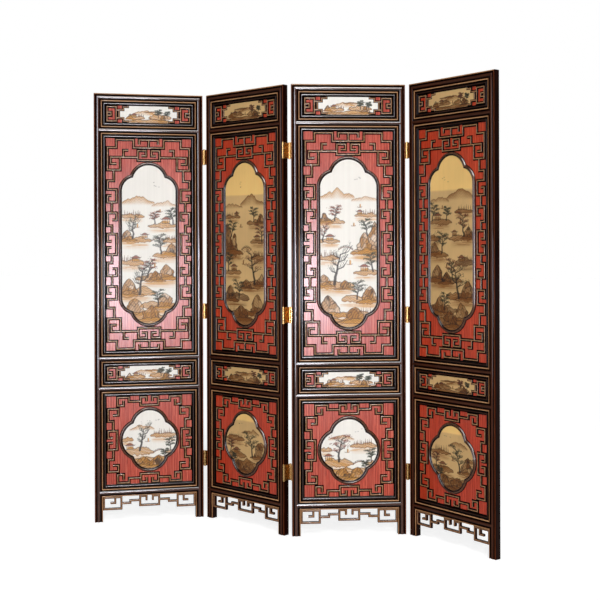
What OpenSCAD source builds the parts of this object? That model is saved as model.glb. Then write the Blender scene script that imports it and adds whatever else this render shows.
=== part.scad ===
// Four-panel lacquered folding screen, standing in its zigzag.
//
// Each panel is a joined frame with grooved boards, mitred inner mouldings,
// applied fretwork, two lobed picture windows, two small cartouches and a
// pierced apron. Two-way brass hinges let every pair of panels close on
// either face. A panel's own frame has x from its left edge, y = 0 at the
// middle of its thickness with the front face towards -y, and z from the floor.

/* [Panels] */
// Width of one panel
panel_w = 465; // [430:1:520]
// Height of the screen
panel_h = 1830; // [1720:5:1980]
// Thickness of the frame members
frame_t = 28; // [26:1:34]
// Width of the stiles
stile_w = 34; // [30:1:40]
// Height of the rails
rail_h = 34; // [30:1:38]
// Height of the top cartouche field, rail to rail
top_field_h = 106; // [98:1:116]
// Height of the middle cartouche field, rail to rail
middle_field_h = 95; // [90:1:112]
// Height of the lower picture field, rail to rail
lower_field_h = 410; // [400:1:440]
// Height of the legs below the bottom rail
leg_h = 106; // [90:1:130]

/* [Frame moulding] */
// Width of the bead along each edge of a frame member
edge_bead_w = 5.4; // [4:0.2:6.4]
// Width of the broad reed down the middle of a member
reed_w = 15; // [12:0.5:17]
// Depth of the sunk ground between the reed and the beads
ground_d = 3.6; // [2.4:0.2:4.6]
// How far the edge beads stay below the reed
bead_drop = 0.8; // [0.2:0.1:1.4]

/* [Joinery] */
// Thickness of the mitred front shoulder of a rail
shoulder_t = 8; // [7:0.5:9]
// Thickness of the tenons
tenon_t = 9; // [7:0.5:10]
// Length of the tenons
tenon_l = 24; // [20:1:26]
// Shoulder left above and below a tenon
tenon_inset = 7; // [6:0.5:8]
// Depth of the groove that holds the boards
groove_d = 5; // [4:0.5:5.5]
// Room left in the groove for the board to move
board_play = 1; // [0.5:0.25:1.5]

/* [Boards and inner mouldings] */
// Depth of the board face below the front of the frame
board_d = 10; // [9:0.5:11]
// Thickness of the boards
board_t = 6; // [5:0.5:8]
// Width of the flat between the frame and the inner bead
fillet_w = 6; // [5:0.5:8]
// Width of the inner bead
inner_bead_w = 7; // [6:0.5:9]
// Width of the cove between the inner bead and the board
cove_w = 4; // [4:0.5:6]
// Height of the flat above the board
fillet_t = 3.6; // [2.8:0.2:4.4]
// Height of the lip at the foot of the cove
cove_lip = 0.8; // [0.5:0.1:1.2]

/* [Fretwork] */
// Width of the fret strips
fret_w = 8.2; // [6.5:0.1:9.2]
// Thickness of the fret strips
fret_t = 4.6; // [3.5:0.1:6]
// Height of the worn crown on a fret strip
crown_t = 1.6; // [1:0.1:2.2]
// Width of the worn crown on a fret strip
crown_w = 5; // [4:0.1:6]

/* [Picture windows] */
// Width of the opening of the tall window
tall_window_w = 229; // [210:1:236]
// Height of the opening of the tall window, between its lobes' tips
tall_window_h = 680; // [600:1:684]
// How far the end lobes stand out past the shoulders
tall_lobe_rise = 52; // [46:1:58]
// Radius of the end lobes of the tall window
tall_lobe_r = 69.5; // [66:0.5:73]
// Radius of the shoulders of the tall window
shoulder_r = 58; // [54:0.5:62]
// Height of the opening of the lower window
lower_window_h = 249; // [240:1:256]
// Width of the opening of the lower window
lower_window_w = 229; // [218:1:238]
// Radius of the top and bottom lobes of the lower window
lower_lobe_r = 69; // [66:0.5:72]
// Radius of the side lobes of the lower window
side_lobe_r = 77; // [74:0.5:79]
// Width of the half-round moulding round a window
window_mould_w = 15; // [12:0.5:16]
// Thickness of the picture plaques
plaque_t = 3; // [2:0.5:4]
// Gap between a plaque and what surrounds it
plaque_gap = 0.3; // [0.2:0.1:0.6]

/* [Apron] */
// Width of the apron strips
apron_w = 9; // [7:0.5:10]
// Thickness of the apron strips
apron_t = 12; // [9:0.5:14]
// Depth of the apron below the bottom rail
apron_h = 58; // [50:1:66]
// How far the apron face sits behind the front of the frame
apron_set = 5; // [3:0.5:7]

/* [Hinges] */
// Height of a hinge
hinge_h = 65; // [60:1:72]
// Height of the bottom hinge's middle above the floor
low_hinge_z = 256; // [240:1:300]
// Height of the middle hinge's middle above the floor
mid_hinge_z = 894; // [860:1:960]
// Height of the top hinge's middle above the floor
top_hinge_z = 1562; // [1480:1:1570]
// Thickness of the leaf plates
leaf_t = 2.2; // [1.8:0.1:2.6]
// Thickness of the link plate between the two pins
link_t = 3; // [2.4:0.1:3.4]
// Play between the link plate and each leaf
link_play = 1.8; // [1.4:0.1:2.2]
// Radius of the hinge pins
pin_r = 2; // [1.6:0.1:2.4]
// Running clearance between a pin and a leaf's knuckle, on the radius
pin_fit = 0.05; // [0.03:0.01:0.08]
// Wall of the knuckles round the pin
knuckle_wall = 2.8; // [2.4:0.1:3.2]
// Gap between neighbouring knuckles
knuckle_gap = 0.4; // [0.3:0.1:0.8]
// Gap between a knuckle and what passes it
barrel_clear = 0.5; // [0.4:0.1:0.8]
// Height of the button on each end of a pin
button_h = 1.6; // [1.2:0.1:2.4]
// Radius of the screw heads
screw_head_r = 3.6; // [3:0.1:4.2]
// Radius of the screw shanks
screw_r = 1.7; // [1.4:0.1:2]
// Length of the screws in the wood
screw_l = 8; // [6:0.5:9]
// Distance between neighbouring screws
screw_pitch = 21; // [19:0.5:24]

/* [Pose] */
// Fold between the first and second panels, front faces closing
fold_1_2 = 55.3; // [30:0.1:80]
// Fold between the second and third panels, back faces closing
fold_2_3 = 47; // [30:0.1:80]
// Fold between the third and fourth panels, front faces closing
fold_3_4 = 56.6; // [30:0.1:80]

/* [Hidden] */
PANELS = [1, 2, 3, 4];
PANEL_PARTS = ["left_stile", "right_stile", "rails", "boards", "inner_mouldings", "tall_fret",
  "lower_fret", "cartouche_frets", "window_mouldings", "picture_plaques", "apron",
  "hinge_leaves", "hinge_screws"];
JOINT_NAMES = ["1_2", "2_3", "3_4"];

$fn = 64;
eps = 0.01;

BLACK_LACQUER = "#21130d";
WORN_LACQUER = "#5b3a28";
RED_LACQUER = "#b23a33";
IVORY = "#efe6d6";
BRASS = "#c9a13f";

// Heights of the rails' lower edges and of the fields between them
bottom_rail_z = leg_h;
lower_z = bottom_rail_z + rail_h;
fourth_rail_z = lower_z + lower_field_h;
middle_z = fourth_rail_z + rail_h;
third_rail_z = middle_z + middle_field_h;
tall_z = third_rail_z + rail_h;
top_rail_z = panel_h - rail_h;
top_z = top_rail_z - top_field_h;
second_rail_z = top_z - rail_h;
tall_field_h = second_rail_z - tall_z;
MID_RAILS = [bottom_rail_z, fourth_rail_z, third_rail_z, second_rail_z];
FIELDS = [[lower_z, lower_field_h], [middle_z, middle_field_h], [tall_z, tall_field_h],
  [top_z, top_field_h]];
CARTOUCHES = [[middle_z, middle_field_h], [top_z, top_field_h]];

front_y = -frame_t / 2;
board_y = front_y + board_d;
tenon_y = front_y + shoulder_t;
opening_w = panel_w - 2 * stile_w;
centre_x = panel_w / 2;
moulding_w = fillet_w + inner_bead_w + cove_w;
field_w = opening_w - 2 * moulding_w;
reed_rise_r = (pow(reed_w / 2, 2) + pow(ground_d, 2)) / (2 * ground_d);
bead_rise = ground_d - bead_drop;
bead_rise_r = (pow(edge_bead_w / 2, 2) + pow(bead_rise, 2)) / (2 * bead_rise);

// Hinge sizes that follow from the plates and pins
hinge_gap = 2 * (leaf_t + link_play) + link_t;
knuckle_r = pin_r + knuckle_wall;
barrel_off_face = 0.2;
pin_out = frame_t / 2 + knuckle_r + barrel_off_face;
KNUCKLES = 5;
knuckle_h = hinge_h / KNUCKLES;
HINGE_ZS = [low_hinge_z, mid_hinge_z, top_hinge_z];

// Height, at the middle of the frame's fields, of the two windows
tall_mid_z = tall_z + tall_field_h / 2;
lower_mid_z = lower_z + lower_field_h / 2;

// ---------------------------------------------------------------- folding

// Direction of each panel: 0 runs along +x, and the four average to 0
heading_1 = (3 * fold_1_2 - 2 * fold_2_3 + fold_3_4) / 4;
HEADINGS = [heading_1, heading_1 - fold_1_2, heading_1 - fold_1_2 + fold_2_3,
  heading_1 - fold_1_2 + fold_2_3 - fold_3_4];

function turned(v, a) = [v.x * cos(a) - v.y * sin(a), v.x * sin(a) + v.y * cos(a)];

// A pair that closes on its front faces turns about the front pin, side = -1
function next_corner(corner, from, to, side) =
  corner + turned([panel_w + hinge_gap / 2, side * pin_out], from)
  - turned([-hinge_gap / 2, side * pin_out], to);

corner_1 = [0, 0];
corner_2 = next_corner(corner_1, HEADINGS[0], HEADINGS[1], -1);
corner_3 = next_corner(corner_2, HEADINGS[1], HEADINGS[2], 1);
corner_4 = next_corner(corner_3, HEADINGS[2], HEADINGS[3], -1);
CORNERS = [corner_1, corner_2, corner_3, corner_4];

// Each link lies square to the panel it isn't folded from, halfway across the gap
LINK_HEADINGS = [HEADINGS[1], HEADINGS[1], HEADINGS[3]];
LINK_PLACES = [
  corner_2 + turned([-hinge_gap / 2, 0], HEADINGS[1]),
  corner_2 + turned([panel_w + hinge_gap / 2, 0], HEADINGS[1]),
  corner_4 + turned([-hinge_gap / 2, 0], HEADINGS[3])];

function pin_place(link, side) =
  LINK_PLACES[link] + turned([0, side * pin_out], LINK_HEADINGS[link]);

// The plan's extent, over discs of [place, radius]: each panel's square corners,
// its front edge beads and the hinge barrels
bead_place_y = front_y + bead_drop + bead_rise_r;
panel_discs = [for (x = [0, panel_w]) each [[[x, frame_t / 2], 0], [[x, front_y + ground_d], 0],
  [[abs(x - edge_bead_w / 2), bead_place_y], bead_rise_r]]];
plan_discs = concat(
  [for (i = [0:3]) for (d = panel_discs) [CORNERS[i] + turned(d[0], HEADINGS[i]), d[1]]],
  [for (i = [0:2]) for (s = [-1, 1]) [pin_place(i, s), knuckle_r]]);
function low_of(axis) = min([for (d = plan_discs) d[0][axis] - d[1]]);
function high_of(axis) = max([for (d = plan_discs) d[0][axis] + d[1]]);
plan_centre = [(low_of(0) + high_of(0)) / 2, (low_of(1) + high_of(1)) / 2];

module in_panel(n) {
  translate(CORNERS[n - 1] - plan_centre) rotate(HEADINGS[n - 1]) children();
}

module in_link(j) {
  translate(LINK_PLACES[j] - plan_centre) rotate(LINK_HEADINGS[j]) children();
}

// ---------------------------------------------------------------- shapes

// Turns a drawing of the panel's face (x, z) into a slab from y = from to y = to
module slab(from, to) {
  translate([0, to, 0]) rotate([90, 0, 0]) linear_extrude(to - from) children();
}

// A low arch of the given width and radius whose crown stands at y = 0
module arch_section(w, r, foot) {
  intersection() {
    translate([0, r]) circle(r);
    translate([-w / 2, 0]) square([w, foot]);
  }
}

// Section of a frame member, u across its width and y through its thickness
module member_section(w) {
  translate([0, front_y + ground_d]) square([w, frame_t - ground_d]);
  for (u = [edge_bead_w / 2, w - edge_bead_w / 2])
    translate([u, front_y + bead_drop])
      arch_section(edge_bead_w, bead_rise_r, bead_rise + 1);
  translate([w / 2, front_y]) arch_section(reed_w, reed_rise_r, ground_d + 1);
}

// Face of a rail that is let into both stiles with a mitred point
module pointed_face(z) {
  tip = rail_h / 2;
  polygon([[stile_w, z], [panel_w - stile_w, z], [panel_w - stile_w + tip, z + tip],
    [panel_w - stile_w, z + rail_h], [stile_w, z + rail_h], [stile_w - tip, z + tip]]);
}

// Face of the top rail, mitred to the stiles at the corners
module mitred_face() {
  polygon([[stile_w, top_rail_z], [panel_w - stile_w, top_rail_z], [panel_w, panel_h],
    [0, panel_h]]);
}

module rail_faces() {
  for (z = MID_RAILS) pointed_face(z);
  mitred_face();
}

module tenon_holes() {
  for (z = concat(MID_RAILS, [top_rail_z]))
    translate([0, tenon_y, z + tenon_inset])
      cube([tenon_l + eps, tenon_t, rail_h - 2 * tenon_inset]);
}

// The grooves' space round every field, as boxes that run into the members
module board_space(reach) {
  for (f = FIELDS)
    translate([stile_w - reach, board_y, f[0] - reach])
      cube([opening_w + 2 * reach, board_t, f[1] + 2 * reach]);
}

module screw_holes() {
  for (z = HINGE_ZS) for (k = [-1:1])
    translate([-eps, 0, z + k * screw_pitch]) rotate([0, 90, 0])
      cylinder(h = screw_l + eps, r = screw_r);
}

// A stile drawn at the panel's left edge; the hinge sits on x = 0 where drilled
module stile(drilled) {
  difference() {
    linear_extrude(panel_h) member_section(stile_w);
    slab(front_y - 1, tenon_y) rail_faces();
    translate([stile_w - tenon_l, 0, 0]) tenon_holes();
    board_space(groove_d);
    if (drilled) screw_holes();
  }
}

module left_stile(n) {
  color(BLACK_LACQUER) in_panel(n) stile(n > 1);
}

module right_stile(n) {
  color(BLACK_LACQUER) in_panel(n) translate([panel_w, 0, 0]) mirror([1, 0, 0]) stile(n < 4);
}

// A rail's moulded bar along x from x = 0 to the panel's width, its foot at z
module rail_bar(z) {
  translate([0, 0, z + rail_h]) rotate([0, 90, 0]) linear_extrude(panel_w) member_section(rail_h);
}

module rail(z, is_top) {
  difference() {
    union() {
      intersection() {
        rail_bar(z);
        slab(front_y, tenon_y) if (is_top) mitred_face(); else pointed_face(z);
      }
      intersection() {
        rail_bar(z);
        translate([stile_w, tenon_y, z]) cube([opening_w, frame_t - shoulder_t, rail_h]);
      }
      translate([stile_w - tenon_l, tenon_y, z + tenon_inset])
        cube([opening_w + 2 * tenon_l, tenon_t, rail_h - 2 * tenon_inset]);
    }
    board_space(groove_d);
  }
}

module rails(n) {
  color(BLACK_LACQUER) in_panel(n) {
    for (z = MID_RAILS) rail(z, false);
    rail(top_rail_z, true);
  }
}

module boards(n) {
  color(RED_LACQUER) in_panel(n) board_space(groove_d - board_play);
}

// ---------------------------------------------------------------- inner mouldings

// Section from the frame (u = 0) inwards: flat, bead and cove, y = 0 on the board
module inner_section() {
  bead_r = inner_bead_w / 2;
  translate([0, -fillet_t]) square([fillet_w + inner_bead_w, fillet_t]);
  intersection() {
    translate([fillet_w + bead_r, -fillet_t]) circle(bead_r);
    translate([fillet_w, -fillet_t - bead_r]) square([inner_bead_w, bead_r + fillet_t / 2]);
  }
  translate([fillet_w + inner_bead_w - eps, 0])
    polygon([[0, 0], [cove_w + eps, 0], [cove_w + eps, -cove_lip], [0, -fillet_t]]);
}

// One length of inner moulding along x, its corners mitred
module moulding_length(len) {
  intersection() {
    rotate([90, 0, 90]) linear_extrude(len) mirror([1, 0]) rotate(90) inner_section();
    slab(-frame_t, frame_t) polygon([[0, 0], [len, 0], [len - moulding_w, moulding_w],
      [moulding_w, moulding_w]]);
  }
}

module moulding_ring(w, h) {
  moulding_length(w);
  translate([w, 0, h]) rotate([0, 180, 0]) moulding_length(w);
  translate([0, 0, h]) rotate([0, 90, 0]) moulding_length(h);
  translate([w, 0, 0]) rotate([0, -90, 0]) moulding_length(h);
}

module inner_mouldings(n) {
  color(BLACK_LACQUER) in_panel(n)
    for (f = FIELDS) translate([stile_w, board_y, f[0]]) moulding_ring(opening_w, f[1]);
}

// ---------------------------------------------------------------- fretwork

// Both edges of a strip along a square-cornered path, as one outline
function unit(v) = v / norm(v);
function left_of(v) = [-v.y, v.x];
function edge_points(path, w, side) = [for (i = [0:len(path) - 1])
  let (before = unit(path[max(i, 1)] - path[max(i, 1) - 1]),
    after = unit(path[min(i, len(path) - 2) + 1] - path[min(i, len(path) - 2)]),
    cap = i == 0 ? -before : i == len(path) - 1 ? after : [0, 0],
    across = i == 0 || i == len(path) - 1 ? left_of(before) : left_of(before) + left_of(after))
  path[i] + (cap + side * across) * w / 2];
function strip_outline(path, w) = concat(edge_points(path, w, 1),
  let (back = edge_points(path, w, -1)) [for (i = [len(back) - 1:-1:0]) back[i]]);

// The fret designs show a quarter of a field: x from its left edge, y up from its
// middle. Each design has [way to the window moulding's edge, way to the end], and
// its strips are carried to the real field so that they keep to both places.
DESIGN_X = [49, 178.5];
TALL_DESIGN_Y = [353.5, 453];
TALL_FRET = [
  [[138, 432], [138, 447], [178.5, 447], [178.5, 413], [114, 413], [114, 447], [41, 447],
    [41, 413], [6, 413], [6, 317], [57, 317], [57, 372], [19, 372], [19, 344], [38, 344]],
  [[57, 372], [132, 372]],
  [[71, 372], [71, 402], [88, 402]],
  [[178.5, 359], [132, 359], [132, 401], [167, 401], [167, 379], [151, 379]],
  [[31, 317], [31, 271], [6, 271], [6, 234], [41, 234], [41, 180], [6, 180], [6, 208],
    [18, 208]],
  [[23, 180], [23, 134]],
  [[28, 104], [41, 104], [41, 134], [6, 134], [6, 79], [23, 79], [23, 44]],
  [[18, 13], [6, 13], [6, 44], [41, 44], [41, 0]]];
LOWER_DESIGN_Y = [139.5, 187];
LOWER_FRET = [
  [[68, 165], [68, 147], [43, 147], [43, 182], [91, 182], [91, 164], [141, 164]],
  [[166, 167], [166, 182], [141, 182], [141, 147], [178.5, 147]],
  [[28, 107], [46, 107], [46, 134], [6, 134], [6, 82], [26, 82], [26, 40]],
  [[21, 11], [6, 11], [6, 40], [41, 40], [41, 0]]];
// The steps of the cartouche's frame: x from the field's edge, y from its middle
STEP_1 = [55, 15];
STEP_2 = [73, 27];
STEP_3 = [92, 32];
CARTOUCHE_FRET = [
  [[5, 0], [5, 27], [43, 27], [43, 0]],
  [[5, 6], [22, 6], [22, 0]],
  [[43, STEP_1.y], [STEP_2.x, STEP_1.y], STEP_2, [STEP_3.x, STEP_2.y], STEP_3],
  [STEP_1, [STEP_1.x, 0]]];

// Carries a distance from a design, both [to the window, to the end], to the real one
function carried(v, design, real) = v <= design[0] ? v * real[0] / design[0]
  : real[0] + (v - design[0]) * (real[1] - real[0]) / (design[1] - design[0]);
function fitted(path, fit) =
  [for (p = path) [carried(p.x, DESIGN_X, fit[0]), carried(p.y, fit[1], fit[2])]];

// How a design fits round a window: [real x, design's y, real y]
function fit_to(window_w, window_h, field_h, design_y) = [
  [(field_w - window_w) / 2 - window_mould_w, field_w / 2],
  design_y,
  [window_h / 2 + window_mould_w, field_h / 2 - moulding_w]];
tall_fit = fit_to(tall_window_w, tall_window_h, tall_field_h, TALL_DESIGN_Y);
lower_fit = fit_to(lower_window_w, lower_window_h, lower_field_h, LOWER_DESIGN_Y);

// A cartouche's design is carried evenly: its window has no moulding of its own
function cartouche_fit(h) = [DESIGN_X * field_w / 2 / DESIGN_X[1], [STEP_3.y, STEP_3.y],
  [h / 2 - moulding_w, h / 2 - moulding_w]];

// A whole fret, drawn about the middle of its field
module fret_drawing(design, fit, w) {
  intersection() {
    for (mx = [0, 1]) for (my = [0, 1]) mirror([mx, 0]) mirror([0, my])
      for (path = design)
        translate([-field_w / 2, 0]) polygon(strip_outline(fitted(path, fit), w));
    square([field_w, 2 * fit[2][1]], center = true);
  }
}

module fret(design, fit) {
  slab(board_y - fret_t + crown_t, board_y) fret_drawing(design, fit, fret_w);
  slab(board_y - fret_t, board_y - fret_t + crown_t) fret_drawing(design, fit, crown_w);
}

module tall_fret(n) {
  color(WORN_LACQUER) in_panel(n) translate([centre_x, 0, tall_mid_z]) fret(TALL_FRET, tall_fit);
}

module lower_fret(n) {
  color(WORN_LACQUER) in_panel(n) translate([centre_x, 0, lower_mid_z])
    fret(LOWER_FRET, lower_fit);
}

module cartouche_frets(n) {
  color(WORN_LACQUER) in_panel(n) for (f = CARTOUCHES)
    translate([centre_x, 0, f[0] + f[1] / 2]) fret(CARTOUCHE_FRET, cartouche_fit(f[1]));
}

// ---------------------------------------------------------------- picture windows

// Centres of the windows' circles, from the middle of each window
tall_lobe_z = tall_window_h / 2 - tall_lobe_r;
shoulder_x = tall_window_w / 2 - shoulder_r;
shoulder_z = tall_window_h / 2 - tall_lobe_rise - shoulder_r;
lower_lobe_z = lower_window_h / 2 - lower_lobe_r;
side_lobe_x = lower_window_w / 2 - side_lobe_r;

// Opening of the tall window, grown on every side by the given amount
module tall_window(grow) {
  for (s = [-1, 1]) {
    translate([0, s * tall_lobe_z]) circle(tall_lobe_r + grow);
    for (x = [-shoulder_x, shoulder_x])
      translate([x, s * shoulder_z]) circle(shoulder_r + grow);
  }
  square([tall_window_w + 2 * grow, 2 * shoulder_z], center = true);
  square([2 * shoulder_x, 2 * (shoulder_z + shoulder_r + grow)], center = true);
}

// Opening of the lower window, grown in the same way
module lower_window(grow) {
  for (s = [-1, 1]) {
    translate([0, s * lower_lobe_z]) circle(lower_lobe_r + grow);
    translate([s * side_lobe_x, 0]) circle(side_lobe_r + grow);
  }
}

// The crossing of two circles that lies to the left of the way from a to b
function crossing(a, ra, b, rb) =
  let (d = norm(b - a), along = (ra * ra - rb * rb + d * d) / (2 * d), u = unit(b - a))
  a + along * u + sqrt(ra * ra - along * along) * left_of(u);

function angle_of(v) = atan2(v.y, v.x);

// Half-round moulding bent round an arc about the origin, from one angle to another
module bent_moulding(r, from, to) {
  rotate([90, 0, 0]) rotate(from) rotate_extrude(angle = to - from)
    translate([r + window_mould_w / 2, 0]) half_round();
}

module half_round() {
  intersection() {
    circle(window_mould_w / 2);
    translate([-window_mould_w / 2, 0]) square([window_mould_w, window_mould_w]);
  }
}

// Where two arcs meet, both are cut along the line through their crossings
function cusp(a, ra, b, rb) = [crossing(a, ra, b, rb),
  crossing(a, ra + window_mould_w, b, rb + window_mould_w)];

// Wedge between two cusp lines, wide enough for any moulding between them
module wedge(first, second) {
  reach = window_mould_w;
  out_1 = first[1] + reach * unit(first[1] - first[0]);
  out_2 = second[1] + reach * unit(second[1] - second[0]);
  in_1 = first[0] - reach * unit(first[1] - first[0]);
  in_2 = second[0] - reach * unit(second[1] - second[0]);
  middle = (out_1 + out_2) / 2;
  far = middle + 2 * norm(out_1 - out_2) * unit(middle - (in_1 + in_2) / 2);
  slab(-window_mould_w, window_mould_w)
    polygon([in_1, out_1, far, out_2, in_2]);
}

// Degrees by which an arc of moulding runs past its cusp before it is cut there
arc_over = 12;

module tall_lobe_moulding() {
  lobe = [0, tall_lobe_z];
  shoulder = [shoulder_x, shoulder_z];
  meet = cusp(lobe, tall_lobe_r, shoulder, shoulder_r);
  meet_left = [for (p = meet) [-p.x, p.y]];
  half = 90 - angle_of(meet[0] - lobe);
  intersection() {
    translate([0, 0, lobe.y])
      bent_moulding(tall_lobe_r, 90 - half - arc_over, 90 + half + arc_over);
    wedge(meet, meet_left);
  }
  for (m = [0, 1]) mirror([m, 0, 0]) intersection() {
    translate([shoulder.x, 0, shoulder.y])
      bent_moulding(shoulder_r, 0, angle_of(meet[0] - shoulder) + arc_over);
    slab(-window_mould_w, window_mould_w) polygon([shoulder, shoulder + [2 * shoulder_r, 0],
      meet[1] + [shoulder_r, 2 * window_mould_w],
      meet[1] + window_mould_w * unit(meet[1] - meet[0]), meet[0]]);
  }
}

module tall_window_moulding() {
  for (m = [0, 1]) mirror([0, 0, m]) tall_lobe_moulding();
  for (x = [-1, 1]) translate([x * (tall_window_w + window_mould_w) / 2, 0, -shoulder_z])
    linear_extrude(2 * shoulder_z) rotate(180) half_round();
}

module lower_window_moulding() {
  top = [0, lower_lobe_z];
  side = [side_lobe_x, 0];
  meet = cusp(top, lower_lobe_r, side, side_lobe_r);
  meet_left = [for (p = meet) [-p.x, p.y]];
  meet_low = [for (p = meet) [p.x, -p.y]];
  half = 90 - angle_of(meet[0] - top);
  side_half = angle_of(meet[0] - side);
  for (m = [0, 1]) {
    mirror([0, 0, m]) intersection() {
      translate([0, 0, top.y])
        bent_moulding(lower_lobe_r, 90 - half - arc_over, 90 + half + arc_over);
      wedge(meet, meet_left);
    }
    mirror([m, 0, 0]) intersection() {
      translate([side.x, 0, 0])
        bent_moulding(side_lobe_r, -side_half - arc_over, side_half + arc_over);
      wedge(meet_low, meet);
    }
  }
}

module window_mouldings(n) {
  color(WORN_LACQUER) in_panel(n) {
    translate([centre_x, board_y, tall_mid_z]) tall_window_moulding();
    translate([centre_x, board_y, lower_mid_z]) lower_window_moulding();
  }
}

// A cartouche's plaque, whose ends step in to clear the fret's strips. Each step is
// [distance from the middle of the field, half its height], from the end inwards.
module cartouche_plaque(h) {
  out = fret_w / 2 + plaque_gap;
  at = fitted([STEP_1, STEP_2, STEP_3], cartouche_fit(h));
  steps = [for (p = at) [field_w / 2 - p.x - out, p.y - (p == at[2] ? plaque_gap : out)]];
  quarter = [for (i = [0:2]) for (p = [[steps[i].x, i == 0 ? 0 : steps[i - 1].y], steps[i]]) p];
  polygon(concat([for (i = [1:5]) quarter[i]],
    [for (i = [5:-1:1]) [-quarter[i].x, quarter[i].y]],
    [for (i = [1:5]) -quarter[i]],
    [for (i = [5:-1:1]) [quarter[i].x, -quarter[i].y]]));
}

module picture_plaques(n) {
  color(IVORY) in_panel(n) slab(board_y - plaque_t, board_y) {
    translate([centre_x, tall_mid_z]) tall_window(-plaque_gap);
    translate([centre_x, lower_mid_z]) lower_window(-plaque_gap);
    for (f = CARTOUCHES) translate([centre_x, f[0] + f[1] / 2]) cartouche_plaque(f[1]);
  }
}

// ---------------------------------------------------------------- apron

// Half of the apron: x from the stile, y down from the rail, on a 397 mm opening
APRON_DESIGN_W = 397;
APRON_DESIGN_H = 53;
APRON = [
  [[4.5, 0], [4.5, 53], [78, 53], [78, 0]],
  [[4.5, 4.5], [78, 4.5]],
  [[52, 4.5], [52, 28], [36, 28]],
  [[78, 31], [116, 31], [116, 21], [158, 21]],
  [[158, 0], [158, 43], [198.5, 43]],
  [[158, 4.5], [185, 4.5], [185, 19]]];

function apron_fitted(path) = [for (p = path)
  [p.x * opening_w / APRON_DESIGN_W, -p.y * (apron_h - apron_w / 2) / APRON_DESIGN_H]];

module apron(n) {
  color(BLACK_LACQUER) in_panel(n) slab(front_y + apron_set, front_y + apron_set + apron_t)
    translate([centre_x, bottom_rail_z]) intersection() {
      for (m = [0, 1]) mirror([m, 0]) for (path = APRON)
        translate([-opening_w / 2, 0]) polygon(strip_outline(apron_fitted(path), apron_w));
      translate([-opening_w / 2, -apron_h]) square([opening_w, apron_h]);
    }
}

// ---------------------------------------------------------------- hinges

// Bands of a hinge's height: bands 0, 2 and 4 belong to the leaves, 1 and 3 to the link
function band_z(i) = (i - KNUCKLES / 2) * knuckle_h;

module knuckle(i, bore) {
  translate([0, 0, band_z(i) + knuckle_gap / 2]) difference() {
    cylinder(h = knuckle_h - knuckle_gap, r = knuckle_r);
    translate([0, 0, -1]) cylinder(h = knuckle_h + 1, r = bore);
  }
}

// A leaf on the face x = 0 of a stile, its pin in front, y = -pin_out
module leaf() {
  difference() {
    translate([-leaf_t, -pin_out, -hinge_h / 2 + knuckle_gap / 2])
      cube([leaf_t, pin_out + frame_t / 2, hinge_h - knuckle_gap]);
    for (i = [1, 3]) translate([-leaf_t - 1, -pin_out - 1, band_z(i) - knuckle_gap / 2])
      cube([leaf_t + 2, pin_out - frame_t / 2 + 1, knuckle_h + knuckle_gap]);
    translate([-hinge_gap / 2, -pin_out, -hinge_h]) cylinder(h = 2 * hinge_h, r = pin_r + pin_fit);
    for (k = [-1:1]) translate([0, 0, k * screw_pitch]) screw_shape(0);
  }
  for (i = [0, 2, 4]) translate([-hinge_gap / 2, -pin_out, 0]) knuckle(i, pin_r + pin_fit);
}

// A countersunk screw driven along +x, its head flush with the leaf's face
module screw_shape(extra) {
  translate([-leaf_t, 0, 0]) rotate([0, 90, 0])
    cylinder(h = leaf_t, r1 = screw_head_r, r2 = screw_r);
  translate([-eps, 0, 0]) rotate([0, 90, 0]) cylinder(h = extra + eps, r = screw_r);
}

// The right-hand leaves of a panel have their pins in front, the left-hand ones behind
module at_leaves(n) {
  if (n < 4) for (z = HINGE_ZS) translate([panel_w, 0, z]) mirror([1, 0, 0]) children();
  if (n > 1) for (z = HINGE_ZS) translate([0, 0, z]) mirror([0, 1, 0]) children();
}

module hinge_leaves(n) {
  color(BRASS) in_panel(n) at_leaves(n) leaf();
}

module hinge_screws(n) {
  color(BRASS) in_panel(n) at_leaves(n)
    for (k = [-1:1]) translate([0, 0, k * screw_pitch]) screw_shape(screw_l);
}

module link() {
  notch = pin_out - knuckle_r - barrel_clear;
  for (i = [0:KNUCKLES - 1]) {
    is_link = i % 2 == 1;
    reach = is_link ? pin_out : notch;
    translate([-link_t / 2, -reach, band_z(i) + (is_link ? knuckle_gap / 2 : -knuckle_gap / 2)])
      cube([link_t, 2 * reach, knuckle_h + (is_link ? -knuckle_gap : knuckle_gap)]);
  }
}

module link_with_knuckles() {
  difference() {
    intersection() {
      link();
      cube([link_t, 4 * pin_out, hinge_h - knuckle_gap], center = true);
    }
    for (s = [-1, 1]) translate([0, s * pin_out, -hinge_h]) cylinder(h = 2 * hinge_h, r = pin_r);
  }
  for (s = [-1, 1]) for (i = [1, 3]) translate([0, s * pin_out, 0]) knuckle(i, pin_r);
}

module hinge_links(j) {
  color(BRASS) in_link(j) for (z = HINGE_ZS) translate([0, 0, z]) link_with_knuckles();
}

// A pin with a button on each end that holds the knuckles together
module pin() {
  cylinder(h = hinge_h, r = pin_r, center = true);
  for (s = [-1, 1]) translate([0, 0, s * (hinge_h + button_h) / 2])
    cylinder(h = button_h, r = knuckle_r * 0.8, center = true);
}

module hinge_pins(j) {
  color(BRASS) in_link(j) for (z = HINGE_ZS) for (s = [-1, 1])
    translate([0, s * pin_out, z]) pin();
}

// ---------------------------------------------------------------- nodes

for (n = PANELS) {
  left_stile(n);
  right_stile(n);
  rails(n);
  boards(n);
  inner_mouldings(n);
  tall_fret(n);
  lower_fret(n);
  cartouche_frets(n);
  window_mouldings(n);
  picture_plaques(n);
  apron(n);
  hinge_leaves(n);
  hinge_screws(n);
}
for (j = [0:2]) {
  hinge_links(j);
  hinge_pins(j);
}
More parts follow.
